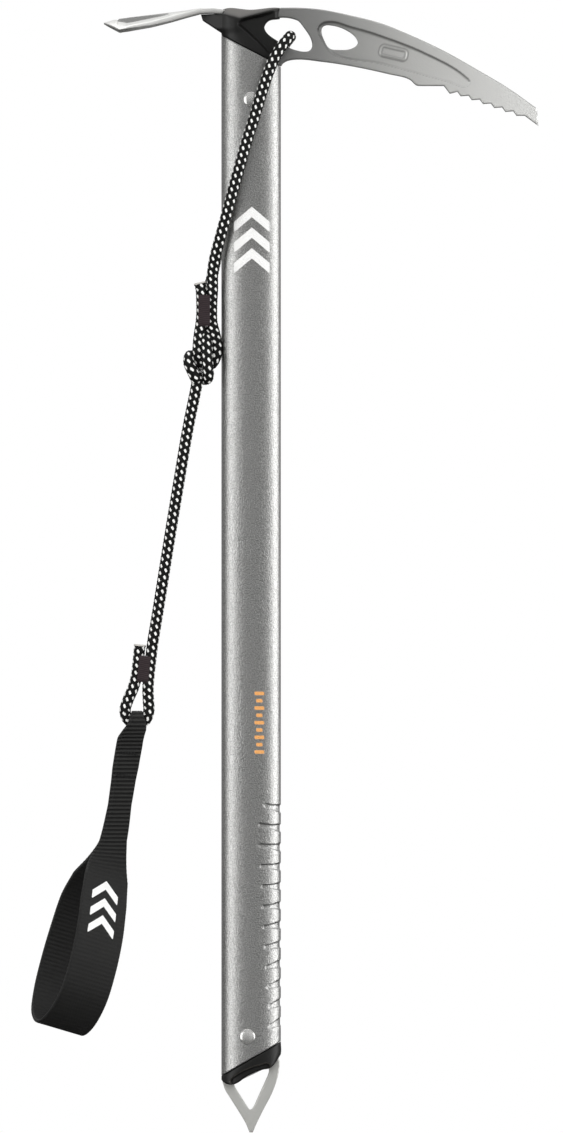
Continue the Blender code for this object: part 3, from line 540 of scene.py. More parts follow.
def plate(name, loops, corners, half, skin, cell=CELL, side=0):
    """A plate cut from a square mesh: the cells inside the loops, with the outermost points moved onto
    them. half gives the half thickness from x, z and the depth inside the rim, and a wall joins the
    two rims. With side -1 or 1 only the front or back half is made, as far as the seam."""
    low, high = loops[0].min(0) - 1.5 * cell, loops[0].max(0) + 1.5 * cell
    columns, rows = (np.arange(low[k], high[k], cell) for k in (0, 1))
    gx, gz = np.meshgrid(columns, rows, indexing="ij")
    spots = np.column_stack([gx.ravel(), gz.ravel()])
    depth, nearest = rim_distance(spots, loops)
    held = depth > -0.5 * cell
    number = np.arange(len(spots)).reshape(gx.shape)
    cells = grid_faces(number)
    count = held[cells].sum(1)
    whole = cells[count == 4]
    partial = cells[count == 3]
    thirds = partial[held[partial]].reshape(-1, 3)
    edges = np.vstack([np.stack([f, np.roll(f, -1, 1)], -1).reshape(-1, 2) for f in (whole, thirds)])
    code, mirror = edges @ (len(spots), 1), edges @ (1, len(spots))
    rim = edges[~np.isin(code, mirror)]
    outer = np.unique(rim)
    spots[outer], depth[outer] = nearest[outer], 0
    for corner in corners:
        gaps = np.linalg.norm(spots[outer] - corner, axis=1)
        if gaps.min() < 1.5 * cell:
            spots[outer[gaps.argmin()]] = corner
    depth = np.maximum(depth, 0)
    used = np.unique(np.concatenate([whole.ravel(), thirds.ravel()]))
    order = np.full(len(spots), -1)
    order[used] = np.arange(len(used))
    x, z = spots[used].T
    thick = half(x, z, depth[used])
    near = np.column_stack([x, np.full(len(x), SEAM_HALF) if side > 0 else -thick, z])
    far = np.column_stack([x, np.full(len(x), -SEAM_HALF) if side < 0 else thick, z])
    faces = []
    for group in (order[whole], order[thirds]):
        faces += group.tolist() + (group[:, ::-1] + len(used)).tolist()
    a, b = order[rim].T
    faces += np.column_stack([b, a, a + len(used), b + len(used)]).tolist()
    return made_object(name, np.vstack([near, far]), faces, skin, smooth=BLEND_ANGLE)


def rounded(depth, radius):
    """How far a rounded edge of that radius falls below the flat, at a depth inside the rim."""
    return radius - np.sqrt(np.maximum(radius**2 - (radius - np.minimum(depth, radius)) ** 2, 0))


def cut_line(x):
    """Height of the shaft's top cut at x."""
    return TOP_CUT[0] + TOP_CUT[1] * x


carabiner_hole = [
    (9.4, -6.9, SMOOTH), (24.4, -6.5, SMOOTH), (27.2, -9.2, SMOOTH), (32.6, -20.0, SMOOTH),
    (31.2, -22.8, SMOOTH), (24.2, -22.7, SMOOTH), (15.3, -18.6, SMOOTH), (8.2, -13.2, SMOOTH),
    (7.1, -10.2, SMOOTH),
]
small_hole = [
    (37.6, -11.6, SMOOTH), (38.9, -9.7, SMOOTH), (43.5, -9.5, SMOOTH), (51.0, -12.1, SMOOTH),
    (56.0, -16.2, SMOOTH), (56.8, -19.0, SMOOTH), (54.2, -21.4, SMOOTH), (46.0, -22.4, SMOOTH),
    (41.7, -21.5, SMOOTH), (39.3, -18.0, SMOOTH),
]
TOOTH_PITCH = 5.95
TOOTH_SLOPE = 0.35
tooth_corners = [(102.8, -41.6), (106.0, -45.8)]
for tooth in range(6):
    valley_x, valley_z = 110.0 + TOOTH_PITCH * tooth, -44.7 - TOOTH_SLOPE * TOOTH_PITCH * tooth
    tooth_corners += [(valley_x, valley_z), (valley_x + 1.8, valley_z - 2.4)]
tooth_corners += [(145.9, -57.5), (153.2, -62.9), (152.4, -53.6)]
pick_top = [
    (137.0, -42.7, SMOOTH), (119.9, -32.5, SMOOTH), (102.8, -22.9, SMOOTH), (85.8, -14.9, SMOOTH),
    (68.7, -8.0, SMOOTH), (51.6, -3.7, SMOOTH), (38.0, -1.0, SMOOTH), (26.0, 0.0, SMOOTH),
    (15.7, 0.0, CORNER),
]
tang = [
    (14.2, -2.6), (-15.8, -2.6), (-9.5, -14.0), (-9.5, -66.0), (9.5, -66.0),
    (9.5, cut_line(9.5) + 0.3), (15.9, cut_line(15.9) + 0.3),
]
pick_bottom = [
    (17.4, -29.3, SMOOTH), (21.8, -27.7, SMOOTH), (38.8, -28.8, SMOOTH), (55.9, -31.5, SMOOTH),
    (73.0, -35.2, SMOOTH), (84.5, -38.2, SMOOTH), (88.2, -41.3, SMOOTH), (91.0, -41.6, CORNER),
]
tang_stations = [(*spot, CORNER) for spot in tang]
tooth_stations = [(*spot, CORNER) for spot in tooth_corners]
head_line = closed_line(pick_top + tang_stations + pick_bottom + tooth_stations)
channel_line = closed_line([(*spot, SMOOTH) for spot in [
    (39.0, -7.3), (55.0, -10.2), (71.2, -15.2), (93.2, -23.9), (113.7, -35.6), (116.9, -39.6),
    (115.0, -42.0), (104.2, -39.3), (69.8, -30.2), (43.0, -24.6), (38.5, -19.5), (35.2, -11.0),
]])
PAD_CENTRE = (75.9, -24.0)
PAD_HALF = (7.6, 3.3)
PAD_TILT = np.radians(-13)
PAD_CORNER = 2.4


def pad_depth(x, z):
    """Distance inside a tilted rectangle with round corners."""
    along = (x - PAD_CENTRE[0]) * np.cos(PAD_TILT) + (z - PAD_CENTRE[1]) * np.sin(PAD_TILT)
    across = (z - PAD_CENTRE[1]) * np.cos(PAD_TILT) - (x - PAD_CENTRE[0]) * np.sin(PAD_TILT)
    gap_x = np.abs(along) - PAD_HALF[0] + PAD_CORNER
    gap_z = np.abs(across) - PAD_HALF[1] + PAD_CORNER
    outside = np.hypot(np.maximum(gap_x, 0), np.maximum(gap_z, 0))
    return PAD_CORNER - outside - np.minimum(np.maximum(gap_x, gap_z), 0)


def steel_half(x, z, depth):
    """Half thickness of the forging: an even taper, less the sunk panel, plus a raised, rimmed pad."""
    half = HUB_HALF + (BLADE_HALF - HUB_HALF) * np.clip((x - 30) / 90, 0, 1)
    panel, _ = rim_distance(np.column_stack([x, z]), [channel_line])
    half = half - (half - WEB_HALF) * between(panel, 0, 1.5)
    pad = pad_depth(x, z)
    half = half + 0.7 * between(pad, 0, 0.9) - 0.35 * between(pad, 1.1, 1.9)
    return half - rounded(depth, 0.6)


steel_skin, steel_tree, steel_shader = finish("forged_steel", (0.5, 0.5, 0.48), 0.40, 0.5)
grain(steel_tree, steel_shader, 1500.0, 0.00008)


def shade_along(tree, axis, stops):
    """Blends colours along one axis of the object; returns the colour socket. Stops are (place in
    metres, colour), with both ends first."""
    place = tree.nodes.new("ShaderNodeTexCoord")
    parts = tree.nodes.new("ShaderNodeSeparateXYZ")
    reach = tree.nodes.new("ShaderNodeMapRange")
    low, high = stops[0][0], stops[1][0]
    reach.inputs["From Min"].default_value = low
    reach.inputs["From Max"].default_value = high
    ramp = tree.nodes.new("ShaderNodeValToRGB")
    for number, (where, colour) in enumerate(stops):
        share = (where - low) / (high - low)
        held = ramp.color_ramp.elements
        stop = held[number] if number < 2 else held.new(share)
        stop.position = share
        stop.color = (*colour, 1)
    tree.links.new(place.outputs["Object"], parts.inputs["Vector"])
    tree.links.new(parts.outputs[axis], reach.inputs["Value"])
    tree.links.new(reach.outputs["Result"], ramp.inputs["Fac"])
    return ramp.outputs["Color"]


# Painted light: the head's colour is darkest where the pick leaves the hub and grows brighter towards
# the pick's point and out along the adze, standing in for how the light falls along it.
painted_light_along_head = shade_along(steel_tree, "X", [
    (-0.08, (0.82, 0.82, 0.80)), (0.16, (0.92, 0.92, 0.90)), (-0.02, (0.66, 0.66, 0.64)),
    (0.015, (0.20, 0.20, 0.196)), (0.035, (0.26, 0.26, 0.255)), (0.08, (0.52, 0.52, 0.505)),
])
# Painted shade: where the value stored under the name scale rises to one, the colour falls to near
# black.
painted_shade_colour = masked(steel_tree, "scale", painted_light_along_head, (0.10, 0.10, 0.098), 0.0, 1.0)
steel_tree.links.new(painted_shade_colour, steel_shader.inputs["Base Color"])
head = plate(
    "head_forging", [head_line, closed_line(carabiner_hole), closed_line(small_hole)],
    np.array(tooth_corners), steel_half, steel_skin,
)
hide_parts("head")
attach(head, "axe")

# Painted shade, stored under the name scale, darkens the upper wall of the sunk panel, more faintly its
# lower wall and the rings round the pad, and the outer edges of the pick.
head_spots = spots_of(head)
panel_inside, panel_edge = rim_distance(head_spots, [channel_line])
upper_wall = panel_edge[:, 1] > head_spots[:, 1]
wall_painted_shade = np.clip(1.2 - np.abs(panel_inside - 0.55) / 0.75, 0, 1)
wall_painted_shade = wall_painted_shade * np.where(upper_wall, 0.85, 0.12)
pad_inside = pad_depth(*head_spots.T)
pad_painted_shade = 0.55 * np.clip(1.2 - np.abs(pad_inside + 0.2) / 0.5, 0, 1)
pad_painted_shade = np.maximum(pad_painted_shade, 0.45 * np.clip(1.2 - np.abs(pad_inside - 1.5) / 0.5, 0, 1))
head_rim, rim_spots = rim_distance(head_spots, [head_line])
edge_painted_shade = 0.8 * np.clip(1.3 - np.abs(head_rim) / 0.4, 0, 1)
edge_painted_shade = edge_painted_shade * between(head_spots[:, 0], 50.0, 100.0) * (rim_spots[:, 0] < 152.0)
mark(head, "scale", np.max([wall_painted_shade, pad_painted_shade, edge_painted_shade], 0))

# Along the adze: height of its middle line, drop at its sides and half width.
ADZE_THICK = 2.5
ADZE_ROOT = -11.0
ADZE_EDGE = -78.5
ADZE_EDGE_ARC = 8.5  # how far the edge's middle stands out beyond its corners
ADZE_STATIONS = np.array([-90.0, -78.5, -66.0, -53.0, -42.0, -34.0, -27.0, -20.0, -15.0, -11.0])
ADZE_RIDGE = np.array([-9.2, -7.0, -5.2, -3.6, -2.3, -1.2, -0.2, -0.3, -1.0, -1.9])
ADZE_DROP = np.array([5.4, 5.2, 5.3, 4.3, 2.6, 1.4, 0.5, 0.0, 0.0, 0.0])
ADZE_HALF = np.array([26.5, 26.0, 23.0, 17.0, 12.5, 10.0, 8.5, 6.4, 5.0, 3.5])
SPINE_PLACES = np.array([-71.6, -70.9, -66.2, -64.1, -54.0, -44.4, -42.0])
SPINE_HEIGHTS = np.array([0.0, 1.3, 2.8, 2.8, 1.9, 1.0, 0.0])
SPINE_HALF = 5.0


def slab(name, top, bottom, skin, smooth=BLEND_ANGLE, wrap=False):
    """A solid between two sheets of points, with walls round its rim. With wrap, the rows close."""
    rows, columns = top.shape[:2]
    number = np.arange(rows * columns).reshape(rows, columns)
    if wrap:
        number = np.vstack([number, number[:1]])
    cells = grid_faces(number)
    extra = rows * columns
    faces = cells.tolist() + (cells[:, ::-1] + extra).tolist()
    borders = [number[:, 0][::-1], number[:, -1]]
    if not wrap:
        borders += [number[0], number[-1][::-1]]
    for line in borders:
        a, b = line[:-1], line[1:]
        faces += np.column_stack([a, b, b + extra, a + extra]).tolist()
    points = np.vstack([top.reshape(-1, 3), bottom.reshape(-1, 3)])
    return made_object(name, points, faces, skin, smooth)


along, across = np.meshgrid(np.linspace(0, 1, 240), np.linspace(-1, 1, 141), indexing="ij")
adze_edge = ADZE_EDGE + ADZE_EDGE_ARC * across**2
adze_x = ADZE_ROOT + (adze_edge - ADZE_ROOT) * along
adze_y = across * np.interp(adze_x, ADZE_STATIONS, ADZE_HALF)
adze_z = np.interp(adze_x, ADZE_STATIONS, ADZE_RIDGE)
adze_z = adze_z - np.interp(adze_x, ADZE_STATIONS, ADZE_DROP) * across**2
spine = np.interp(adze_x, SPINE_PLACES, SPINE_HEIGHTS) * (1 - across**2)
scoop = spine * between(np.abs(adze_y), SPINE_HALF - 0.6, SPINE_HALF + 0.6)
notch = 0.7 * between(np.abs(adze_x + 71.3), 0.9, 0.2) * (np.abs(adze_y) < SPINE_HALF + 2)
ground = np.clip(1 - (adze_x - adze_edge) / 7.0, 0, 1)
side_round = rounded((1 - np.abs(across)) * 12, 0.6)
thick = ADZE_THICK - 0.9 * between(-adze_x, 40.0, 75.0)
top_z = adze_z - ground * 0.9 - side_round - scoop - notch
bottom_z = adze_z - np.maximum(thick, scoop + notch + 1.0) + side_round
adze_top = np.stack([adze_x, adze_y, top_z], -1)
adze_bottom = np.stack([adze_x, adze_y, bottom_z], -1)
adze = slab("adze_blade", adze_top[:, ::-1], adze_bottom[:, ::-1], steel_skin)
# Painted shade on the adze, stored under the name scale: along the walls of the scoop beside the spine
# and at the notch on top, and over the whole underside, darkest near the cutting edge.
flank_painted_shade = 0.7 * np.clip(spine, 0, 1) * (np.abs(np.abs(adze_y) - SPINE_HALF + 0.6) < 1.7)
flank_painted_shade = np.maximum(flank_painted_shade, 0.75 * np.clip(notch / 0.4, 0, 1))
underside_painted_shade = 0.35 + 0.3 * between(-adze_x, 58.0, 70.0)
mark(adze, "scale", np.concatenate([flank_painted_shade[:, ::-1].ravel(), underside_painted_shade.ravel()]))
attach(adze, "axe")


# ---- head cap ------------------------------------------------------------------------------------
# Two moulded halves of matt black plastic meet over the hub, held by the head rivet. A curved
# crease parts the full oval from a thinner panel by the hole, and a beak covers the adze's root.

PANEL_HALF = 6.2
BEAK_HALF = 7.8
BEAK_TAPER = 4.8
cap_line = closed_line([
    (-26.8, -3.6, CORNER), (-15.1, -3.1, CORNER), (-15.0, -0.8, CORNER), (-12.0, -0.1, SMOOTH),
    (0.0, -1.1, SMOOTH), (12.0, 0.0, SMOOTH), (15.3, 0.0, CORNER), (15.3, -5.9, CORNER),
    (9.4, -6.9, SMOOTH), (7.1, -10.2, SMOOTH), (8.2, -13.2, SMOOTH), (15.3, -18.6, CORNER),
    (12.8, -22.5, SMOOTH), (11.4, cut_line(11.4) + 0.3, CORNER),
    (-15.85, cut_line(-15.85) + 0.3, CORNER), (-15.8, -13.3, CORNER), (-25.8, -6.8, CORNER),
])
panel_line = closed_line([
    (24.0, 3.0, CORNER), (14.6, -0.6, CORNER), (5.8, -3.6, SMOOTH), (-1.9, -5.3, SMOOTH),
    (-6.0, -6.9, SMOOTH), (-7.0, -8.9, SMOOTH), (-5.6, -10.4, SMOOTH), (-1.9, -13.6, SMOOTH),
    (4.2, -19.5, SMOOTH), (10.2, -25.5, CORNER), (11.4, -33.0, CORNER), (24.0, -33.0, CORNER),
])


def crown_reach(x):
    """How far down from the top the sloping crown reaches at x: furthest at the crease's corner."""
    return np.clip(5.8 - 0.26 * np.abs(x + 6), 1.2, 5.8)


def cap_half(x, z, depth):
    """Half thickness of the cap: oval and beak run together, less the sloping crown and thin panel."""
    beak = BEAK_HALF - BEAK_TAPER * between(-x, 11.0, 27.5)
    beak = beak * between(-x, -2.0, 9.0) * between(z, -20.0, -10.0)
    full = (oval_depth(x) ** 4 + beak**4) ** 0.25
    reach = crown_reach(x) + z
    crown = 0.7 * (reach + np.sqrt(reach**2 + 0.3))
    full = full - crown
    panel, _ = rim_distance(np.column_stack([x, z]), [panel_line])
    full = full - np.maximum(full - PANEL_HALF, 0.9) * between(panel, -0.3, 1.5)
    return np.maximum(full - rounded(depth, 0.7), 0.6)


BLACK = (0.006, 0.006, 0.0055)
plastic_skin, plastic_tree, plastic_shader = finish("matt_plastic", BLACK, 0.45)
# Painted highlight: the marked points of the cap and the collar turn a lighter brown-grey, standing in
# for light caught from above.
painted_highlight = masked(plastic_tree, "painted_highlight", BLACK, (0.062, 0.056, 0.049), 0.0, 1.0)
plastic_tree.links.new(painted_highlight, plastic_shader.inputs["Base Color"])
grain(plastic_tree, plastic_shader, 1600.0, 0.00003)
for word, side in (("front", -1), ("back", 1)):
    half_cap = plate(
        f"head_cap_{word}_half", [cap_line], np.array([(-26.8, -3.6), (15.3, 0.0)]),
        cap_half, plastic_skin, cell=0.4, side=side,
    )
    cap_x, cap_z = spots_of(half_cap).T
    # Painted highlight on the sloping crown outside the thin panel, not on the beak.
    panel_inside, _ = rim_distance(np.column_stack([cap_x, cap_z]), [panel_line])
    high = between(cap_z + crown_reach(cap_x), -0.8, 2.5) * between(-panel_inside, -0.6, 0.2)
    mark(half_cap, "painted_highlight", high * between(cap_x, -17.0, -11.0))
    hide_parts(f"head_cap_{word}")
    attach(half_cap, "axe")


# ---- rivets --------------------------------------------------------------------------------------
# Solid aluminium rivets go through the shaft, and each end is hammered to a low dome.

RIVET_RADIUS = 4.2
RIVET_PIN = 2.2
RIVET_POINTS = 48
DOME_FOOT = 10.2  # distance from the middle of the shaft to the foot of a dome
DOME_RISE = 1.4
rivet_skin, rivet_tree, rivet_shader = finish("rivet_aluminium", (0.80, 0.80, 0.78), 0.22, 0.8)
grain(rivet_tree, rivet_shader, 700.0, 0.00006)
dome_turn = np.linspace(0.08, np.pi / 2, 12)
dome_radius = RIVET_RADIUS * np.sin(dome_turn)
dome_height = DOME_FOOT + DOME_RISE * np.cos(dome_turn)
waist = [RIVET_RADIUS, RIVET_PIN, RIVET_PIN, RIVET_RADIUS]
rivet_radius = np.concatenate([dome_radius, waist, dome_radius[::-1]])
rivet_place = np.concatenate([-dome_height, [-9.7, -9.6, 9.6, 9.7], dome_height[::-1]])
ring_turn = np.linspace(0, 2 * np.pi, RIVET_POINTS, endpoint=False)
for name, x, z in (("head_rivet", 0.0, -49.1), ("spike_rivet", -2.0, -548.4)):
    rings = np.stack([
        x + rivet_radius[:, None] * np.cos(ring_turn),
        rivet_place[:, None] + 0 * ring_turn,
        z - rivet_radius[:, None] * np.sin(ring_turn),
    ], -1)
    rivet_faces = ring_faces(len(rings), RIVET_POINTS)
    rivet = made_object(name + "_turned", rings.reshape(-1, 3), rivet_faces, rivet_skin, smooth=40)
    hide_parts(name)
    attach(rivet, "axe")


# ---- spike and collar ----------------------------------------------------------------------------
# The spike is a flat steel blade with a triangular window, its tang held by the lower rivet. A
# moulded collar of black plastic closes the shaft's foot round it, with a lip along its lower edge.

SPIKE_HALF = 2.0


def foot_line(x):
    """Height of the shaft's foot cut at x."""
    return FOOT_CUT[0] + FOOT_CUT[1] * x


spike_line = closed_line([
    (-9.0, -532.0, CORNER), (-9.0, -566.0, CORNER), (-15.4, -569.6, CORNER), (-15.2, -573.0, CORNER),
    (-14.0, -576.6, SMOOTH), (-11.8, -580.3, SMOOTH), (-7.6, -586.9, SMOOTH), (-2.6, -595.4, SMOOTH),
    (-0.9, -599.7, CORNER), (0.9, -599.7, CORNER), (2.9, -595.0, SMOOTH), (6.9, -586.9, SMOOTH),
    (11.2, -578.6, SMOOTH), (14.3, -569.6, SMOOTH), (15.4, -562.2, CORNER), (14.2, -559.5, CORNER),
    (7.0, -558.5, CORNER), (7.0, -532.0, CORNER),
])
window_line = closed_line([
    (-8.9, -573.8, SMOOTH), (-7.9, -573.0, CORNER), (8.9, -564.9, CORNER), (9.5, -566.4, SMOOTH),
    (9.0, -569.0, CORNER), (1.4, -585.8, CORNER), (-0.4, -587.6, SMOOTH), (-2.3, -585.6, CORNER),
    (-8.4, -575.9, CORNER),
])
spike_skin, spike_tree, spike_shader = finish("spike_steel", (0.60, 0.60, 0.575), 0.42, 0.5)
grain(spike_tree, spike_shader, 900.0, 0.00005)


def spike_half(x, z, depth):
    """Half thickness of the spike with its edges rounded."""
    return SPIKE_HALF - rounded(depth, 0.45)


spike = plate(
    "spike_blade", [spike_line, window_line], np.array([(-0.9, -599.7), (0.9, -599.7)]),
    spike_half, spike_skin, cell=0.4,
)
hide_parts("spike")
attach(spike, "axe")

collar_foot = [
    (-15.6, -571.9, SMOOTH), (-10.1, -574.1, SMOOTH), (-1.3, -569.1, SMOOTH), (5.8, -566.2, SMOOTH),
    (10.2, -565.2, SMOOTH), (15.2, -559.1, SMOOTH), (15.85, -557.8, SMOOTH),
]
collar_left = (-SHAFT_HALF[0], foot_line(-SHAFT_HALF[0]) - 0.3, CORNER)
collar_right = (SHAFT_HALF[0], foot_line(SHAFT_HALF[0]) - 0.3, CORNER)
collar_line = closed_line([collar_left] + collar_foot + [collar_right])
lip_line = closed_line([
    (-11.2, -571.8, SMOOTH), (-8.6, -569.0, SMOOTH), (-2.0, -565.4, SMOOTH), (4.0, -563.4, SMOOTH),
    (9.6, -562.8, SMOOTH), (10.6, -566.5, CORNER), (-1.3, -571.5, CORNER), (-10.4, -575.5, CORNER),
])


def collar_half(x, z, depth):
    """Half thickness of the collar: the oval, cut back below its lip and at its right facet."""
    lip, _ = rim_distance(np.column_stack([x, z]), [lip_line])
    facet = 2.6 * between(x - 0.55 * (z + 560.0), 12.5, 17.5)
    full = oval_depth(x) - 2.4 * between(lip, -0.2, 1.0) - facet
    return np.maximum(full - rounded(depth, 0.8), 2.4)


collar = plate(
    "spike_collar_moulding", [collar_line], np.array([(15.85, -551.2), (-15.85, -569.6)]),
    collar_half, plastic_skin, cell=0.35,
)
# Painted highlight along the line of the collar's lip.
lip_inside, _ = rim_distance(spots_of(collar), [lip_line])
mark(collar, "painted_highlight", 0.75 * np.clip(1 - np.abs(lip_inside - 0.1) / 0.55, 0, 1))
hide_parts("spike_collar")
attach(collar, "axe")


# ---- bar tacks on the cord -----------------------------------------------------------------------
# Each sewn eye of the cord is closed by a dense row of dark maroon thread across its two strands.

thread_skin, thread_tree, thread_shader = finish("maroon_thread", (0.030, 0.017, 0.020), 0.6)
# Painted shade and highlight: the thread is darker between its ribs and lighter on them.
thread_painted_shading = masked(thread_tree, "painted_relief_shading", (0.006, 0.004, 0.0045), (0.040, 0.024, 0.028), 0.0, 1.0)
thread_tree.links.new(thread_painted_shading, thread_shader.inputs["Base Color"])
grain(thread_tree, thread_shader, 4000.0, 0.0001)
STRAND_HALF = 3.1  # half the distance between the two strands
THREAD_PITCH = 1.05
THREAD_RIB = 0.22


def bar_tack(name, centre, length, tilt):
    """Threads over and between two strands: a spool outline whose flats are ribbed along the strands."""
    reach = CORD_RADIUS + 0.3
    arc = np.radians(np.linspace(0, 88, 10))
    flat_x = [STRAND_HALF, STRAND_HALF * 0.5, 0.0]
    quarter_x = np.concatenate([STRAND_HALF - reach * np.cos(arc), flat_x])
    quarter_y = np.concatenate([reach * np.sin(arc), [reach + 0.75, reach + 0.7, reach + 0.65]])
    loop_x = np.concatenate([quarter_x, -quarter_x[-2::-1], -quarter_x[1:], quarter_x[-2:0:-1]])
    loop_y = np.concatenate([quarter_y, quarter_y[-2::-1], -quarter_y[1:], -quarter_y[-2:0:-1]])
    rows = np.linspace(-length / 2, length / 2, int(length / 0.1) + 1)[:, None]
    rib = THREAD_RIB * np.abs(np.sin(np.pi * rows / THREAD_PITCH + 0.35 * loop_x)) - 0.2
    ends = 1 - between(np.abs(rows), length / 2 - 2.0, length / 2 + 1.2)
    outer = np.abs(loop_y) > reach * 0.9
    swell = reach - 0.5 + (np.abs(loop_y) + rib - reach + 0.5) * ends
    y = np.where(outer, np.sign(loop_y) * swell, loop_y)
    x = loop_x + 0 * rows
    z = rows + 0 * loop_x
    turned_x, turned_z = x * np.cos(tilt) + z * np.sin(tilt), z * np.cos(tilt) - x * np.sin(tilt)
    points = np.stack([turned_x, y, turned_z], -1) + np.array(centre)
    faces = ring_faces(*points.shape[:2])
    tack = made_object(name + "_thread", points.reshape(-1, 3), faces, thread_skin, smooth=60)
    # Painted shade and highlight, high on the rib tops and low between them.
    mark(tack, "painted_relief_shading", (rib + 0.2) / THREAD_RIB)
    return tack


for name, body, centre, length, tilt in (
    ("noose_tack", "noose", (-25.0, -3.0, -161.4), 16.5, 0.0),
    ("leash_tack", "leash", (-57.2, 0.0, -352.6), 14.0, np.radians(5.9)),
):
    tack = bar_tack(name, centre, length, tilt)
    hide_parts(name)
    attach(tack, body)


# ---- wrist strap ---------------------------------------------------------------------------------
# One length of ribbed black webbing: folded over the cord's lower eye, doubled along its width
# in a stitched neck, and open below as a loop for the hand.

WEB_THICK = 1.8
RIB_PITCH = 2.2
RIB_RISE = 0.26
WEAVE_RISE = 0.10
YAW = 0.4
NECK_LEAN, LOOP_LEAN = np.array([1.0, 0, 0]), np.array([0.962, 0, -0.275])
# Each station is the middle of the back run and half the width of the webbing there.
strap_stations = np.array([
    (-60.9, 5.4, -381.4, 4.9), (-62.2, 5.1, -385.0, 6.2), (-64.1, 3.8, -389.0, 7.0),
    (-65.2, 2.2, -394.5, 7.1), (-67.0, 1.5, -405.0, 7.0), (-68.1, 1.4, -412.0, 6.6),
    (-70.1, 1.3, -425.0, 6.35), (-73.6, 1.4, -444.0, 7.4), (-76.6, 3.2, -453.5, 9.8),
    (-80.2, 8.0, -464.0, 12.6), (-83.8, 13.4, -476.0, 13.5), (-87.7, 18.0, -493.0, 13.6),
    (-92.5, 19.8, -512.0, 13.6), (-96.9, 17.8, -528.0, 13.7), (-100.6, 10.6, -539.5, 13.9),
    (-101.8, 0.0, -543.8, 14.0),
])
fold_turn = np.radians([-60, -30, 0, 30, 60])
fold = np.column_stack([
    np.full(5, -60.9), 5.4 * np.sin(fold_turn), -381.4 + 5.4 * np.cos(fold_turn),
    [4.0, 3.2, 2.9, 3.2, 4.0],
])
front_run = strap_stations * (1, -1, 1, 1)
closed_run = np.vstack([front_run[::-1], fold, strap_stations[:-1], front_run[::-1][:1]])


def run_curve(stations, step):
    """The closed run of the webbing at an even step, with each station's width carried along. The run
    goes a little past both ends, so that it joins itself smoothly, and is cut at its first station."""
    padded = np.vstack([stations[-3:-1], stations, stations[1:3]])
    line, places = smooth_line(padded[:, :3], step)
    gaps = np.linalg.norm(line - stations[0, :3], axis=1)
    middle = len(line) // 2
    first, last = gaps[:middle].argmin(), middle + gaps[middle:].argmin()
    chords = np.linalg.norm(np.diff(padded[:, :3], axis=0), axis=1)
    knots = np.concatenate([[0], np.cumsum(chords)]) * places[-1] / chords.sum()
    half = np.interp(places, knots, padded[:, 3])
    return line[first:last], half[first:last], places[first:last] - places[first]


web_line, web_half, web_along = run_curve(closed_run, 0.46)
open_share = (between(web_half, 7.2, 13.4) * (web_line[:, 2] < -440))[:, None]
lean = NECK_LEAN * (1 - open_share) + LOOP_LEAN * open_share
yaw = YAW * open_share[:, 0]
lean = np.column_stack([lean[:, 0] * np.cos(yaw), lean[:, 0] * np.sin(yaw), lean[:, 2]])
lean /= np.linalg.norm(lean, axis=1, keepdims=True)
web_middle = web_line + np.column_stack([-web_line[:, 1] * yaw, 0 * yaw, 0 * yaw])
heading = np.roll(web_middle, -1, 0) - np.roll(web_middle, 1, 0)
heading /= np.linalg.norm(heading, axis=1, keepdims=True)
outward = np.cross(lean, heading)
outward /= np.linalg.norm(outward, axis=1, keepdims=True)
share = np.linspace(-1, 1, 57)[None, :]
run = web_along[:, None]
ribs = RIB_RISE * np.cos(2 * np.pi * run / RIB_PITCH) * (1 - 0.8 * open_share)
weave = WEAVE_RISE * np.cos(2 * np.pi * run / 1.4) * np.cos(2 * np.pi * share * web_half[:, None])
edge = rounded((1 - np.abs(share)) * web_half[:, None], 0.55)
doubled = 0.75 * between(-share, 0.55, 0.85) * (1 - open_share) * (web_half[:, None] > 3.6)
swell = WEB_THICK / 2 + ribs + weave - edge + doubled
centre_line = web_middle[:, None] + lean[:, None] * (share * web_half[:, None])[..., None]
outer_face = centre_line + outward[:, None] * swell[..., None]
inner_swell = WEB_THICK / 2 - edge + 0.08 * np.cos(2 * np.pi * run / RIB_PITCH)
inner_face = centre_line - outward[:, None] * inner_swell[..., None]
web_skin, web_tree, web_shader = finish("ribbed_webbing", (0.02, 0.02, 0.019), 0.62)
# Painted shade and highlight: the webbing is darker in the hollows between its ribs and weave and
# lighter on their tops.
painted_weave_shading = masked(web_tree, "painted_relief_shading", (0.0005, 0.0005, 0.0005), (0.026, 0.026, 0.0245), 0.0, 1.0)
printed = masked(web_tree, "print", painted_weave_shading, (0.92, 0.92, 0.91))
web_tree.links.new(printed, web_shader.inputs["Base Color"])
grain(web_tree, web_shader, 3200.0, 0.00012)
strap = slab(
    "wrist_strap_webbing", outer_face[:, ::-1], inner_face[:, ::-1], web_skin, smooth=60, wrap=True
)
# Painted shade and highlight from rib and weave height; on the loop the ribs count for less and the
# weave for more.
web_painted_shading = 0.5 + 0.5 * ribs / RIB_RISE * (1 - 0.6 * open_share)
web_painted_shading = web_painted_shading + 3.0 * open_share * weave
web_painted_shading = np.clip(web_painted_shading, 0, 1) ** 1.5
web_painted_shading = np.broadcast_to(web_painted_shading, outer_face.shape[:2])
mark(strap, "painted_relief_shading", np.vstack([web_painted_shading[:, ::-1], web_painted_shading[:, ::-1]]))
front_height = outer_face[..., 2]
band_x = share * web_half[:, None] + 0 * front_height
band_z = front_height + 0.275 * band_x
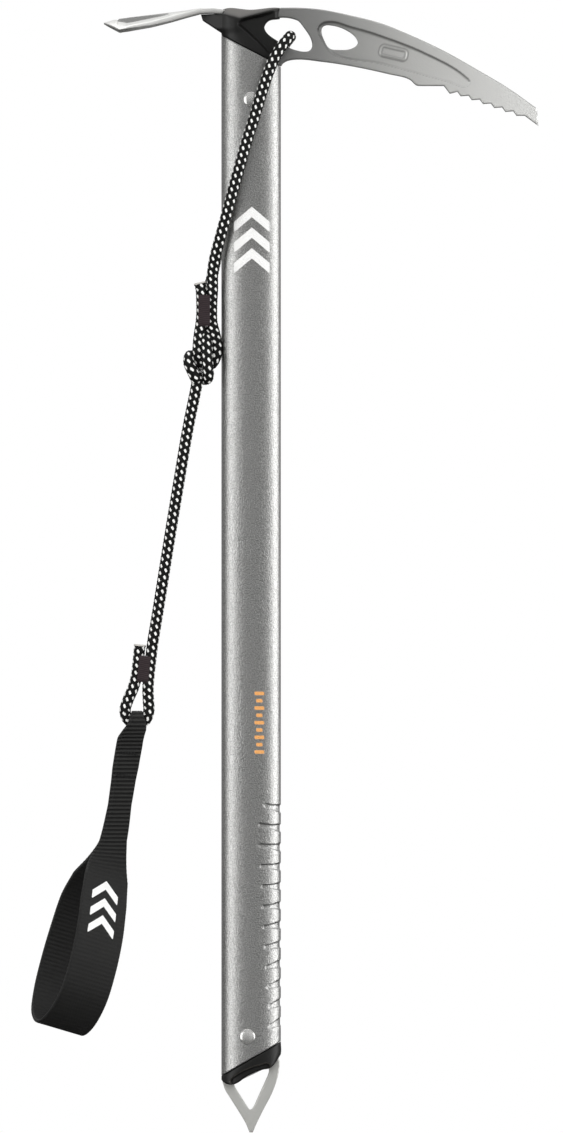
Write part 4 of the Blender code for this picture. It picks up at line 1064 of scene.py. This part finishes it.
strap_print = np.full(front_height.shape, -1.0)
for height in (-471.0, -480.0, -489.0):
    inside = chevron(band_x, band_z, (0.0, height), half_width=7.6, rise=6.5, stroke=3.4)
    strap_print = np.maximum(strap_print, inside)
strap_print = np.where(outer_face[..., 1] < -4, strap_print, -1)
mark(strap, "print", np.vstack([strap_print[:, ::-1], np.full(strap_print.shape, -1.0)]))
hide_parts("wrist_strap")
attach(strap, "strap")


STITCH_PITCH = 1.6
STITCH_HALF = 0.42  # half the thickness of the thread
STITCH_TILT = np.radians(8)
NECK_HEIGHTS, NECK_X, NECK_Y = [392.0, 405.0, 425.0], [-64.8, -67.0, -70.1], [1.9, 1.4, 1.3]


def stitch_row(name, height, side):
    """A bar of zigzag stitches across one face of the neck: a round thread along a triangle wave."""
    x = np.interp(-height, NECK_HEIGHTS, NECK_X)
    face = np.interp(-height, NECK_HEIGHTS, NECK_Y) + WEB_THICK / 2
    across, up = np.meshgrid(np.linspace(-5.6, 5.6, 113), np.linspace(-0.9, 0.9, 13), indexing="ij")
    zig = 0.6 * (4 * np.abs((across / STITCH_PITCH) % 1 - 0.5) - 1)
    thread = np.clip(1 - (np.abs(up - zig) / STITCH_HALF) ** 2, 0, 1)
    high = face + 0.12 + STITCH_HALF * np.sqrt(thread)
    sx = x + across * np.cos(STITCH_TILT) + up * np.sin(STITCH_TILT)
    sz = height + up * np.cos(STITCH_TILT) - across * np.sin(STITCH_TILT)
    top = np.stack([sx, side * high, sz], -1)
    under = np.stack([sx, side * (face - 0.3) + 0 * sx, sz], -1)
    if side > 0:
        top, under = top[:, ::-1], under[:, ::-1]
    return slab(name, top, under, stitch_skin, smooth=60)


stitch_skin = finish("stitch_thread", (0.006, 0.006, 0.006), 0.5)[0]
for word, height in (("upper", -397.6), ("lower", -409.5)):
    for face_word, side in (("front", -1), ("back", 1)):
        stitches = stitch_row(f"strap_tack_{word}_{face_word}_stitches", height, side)
        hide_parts(f"strap_tack_{word}_{face_word}")
        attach(stitches, "strap")
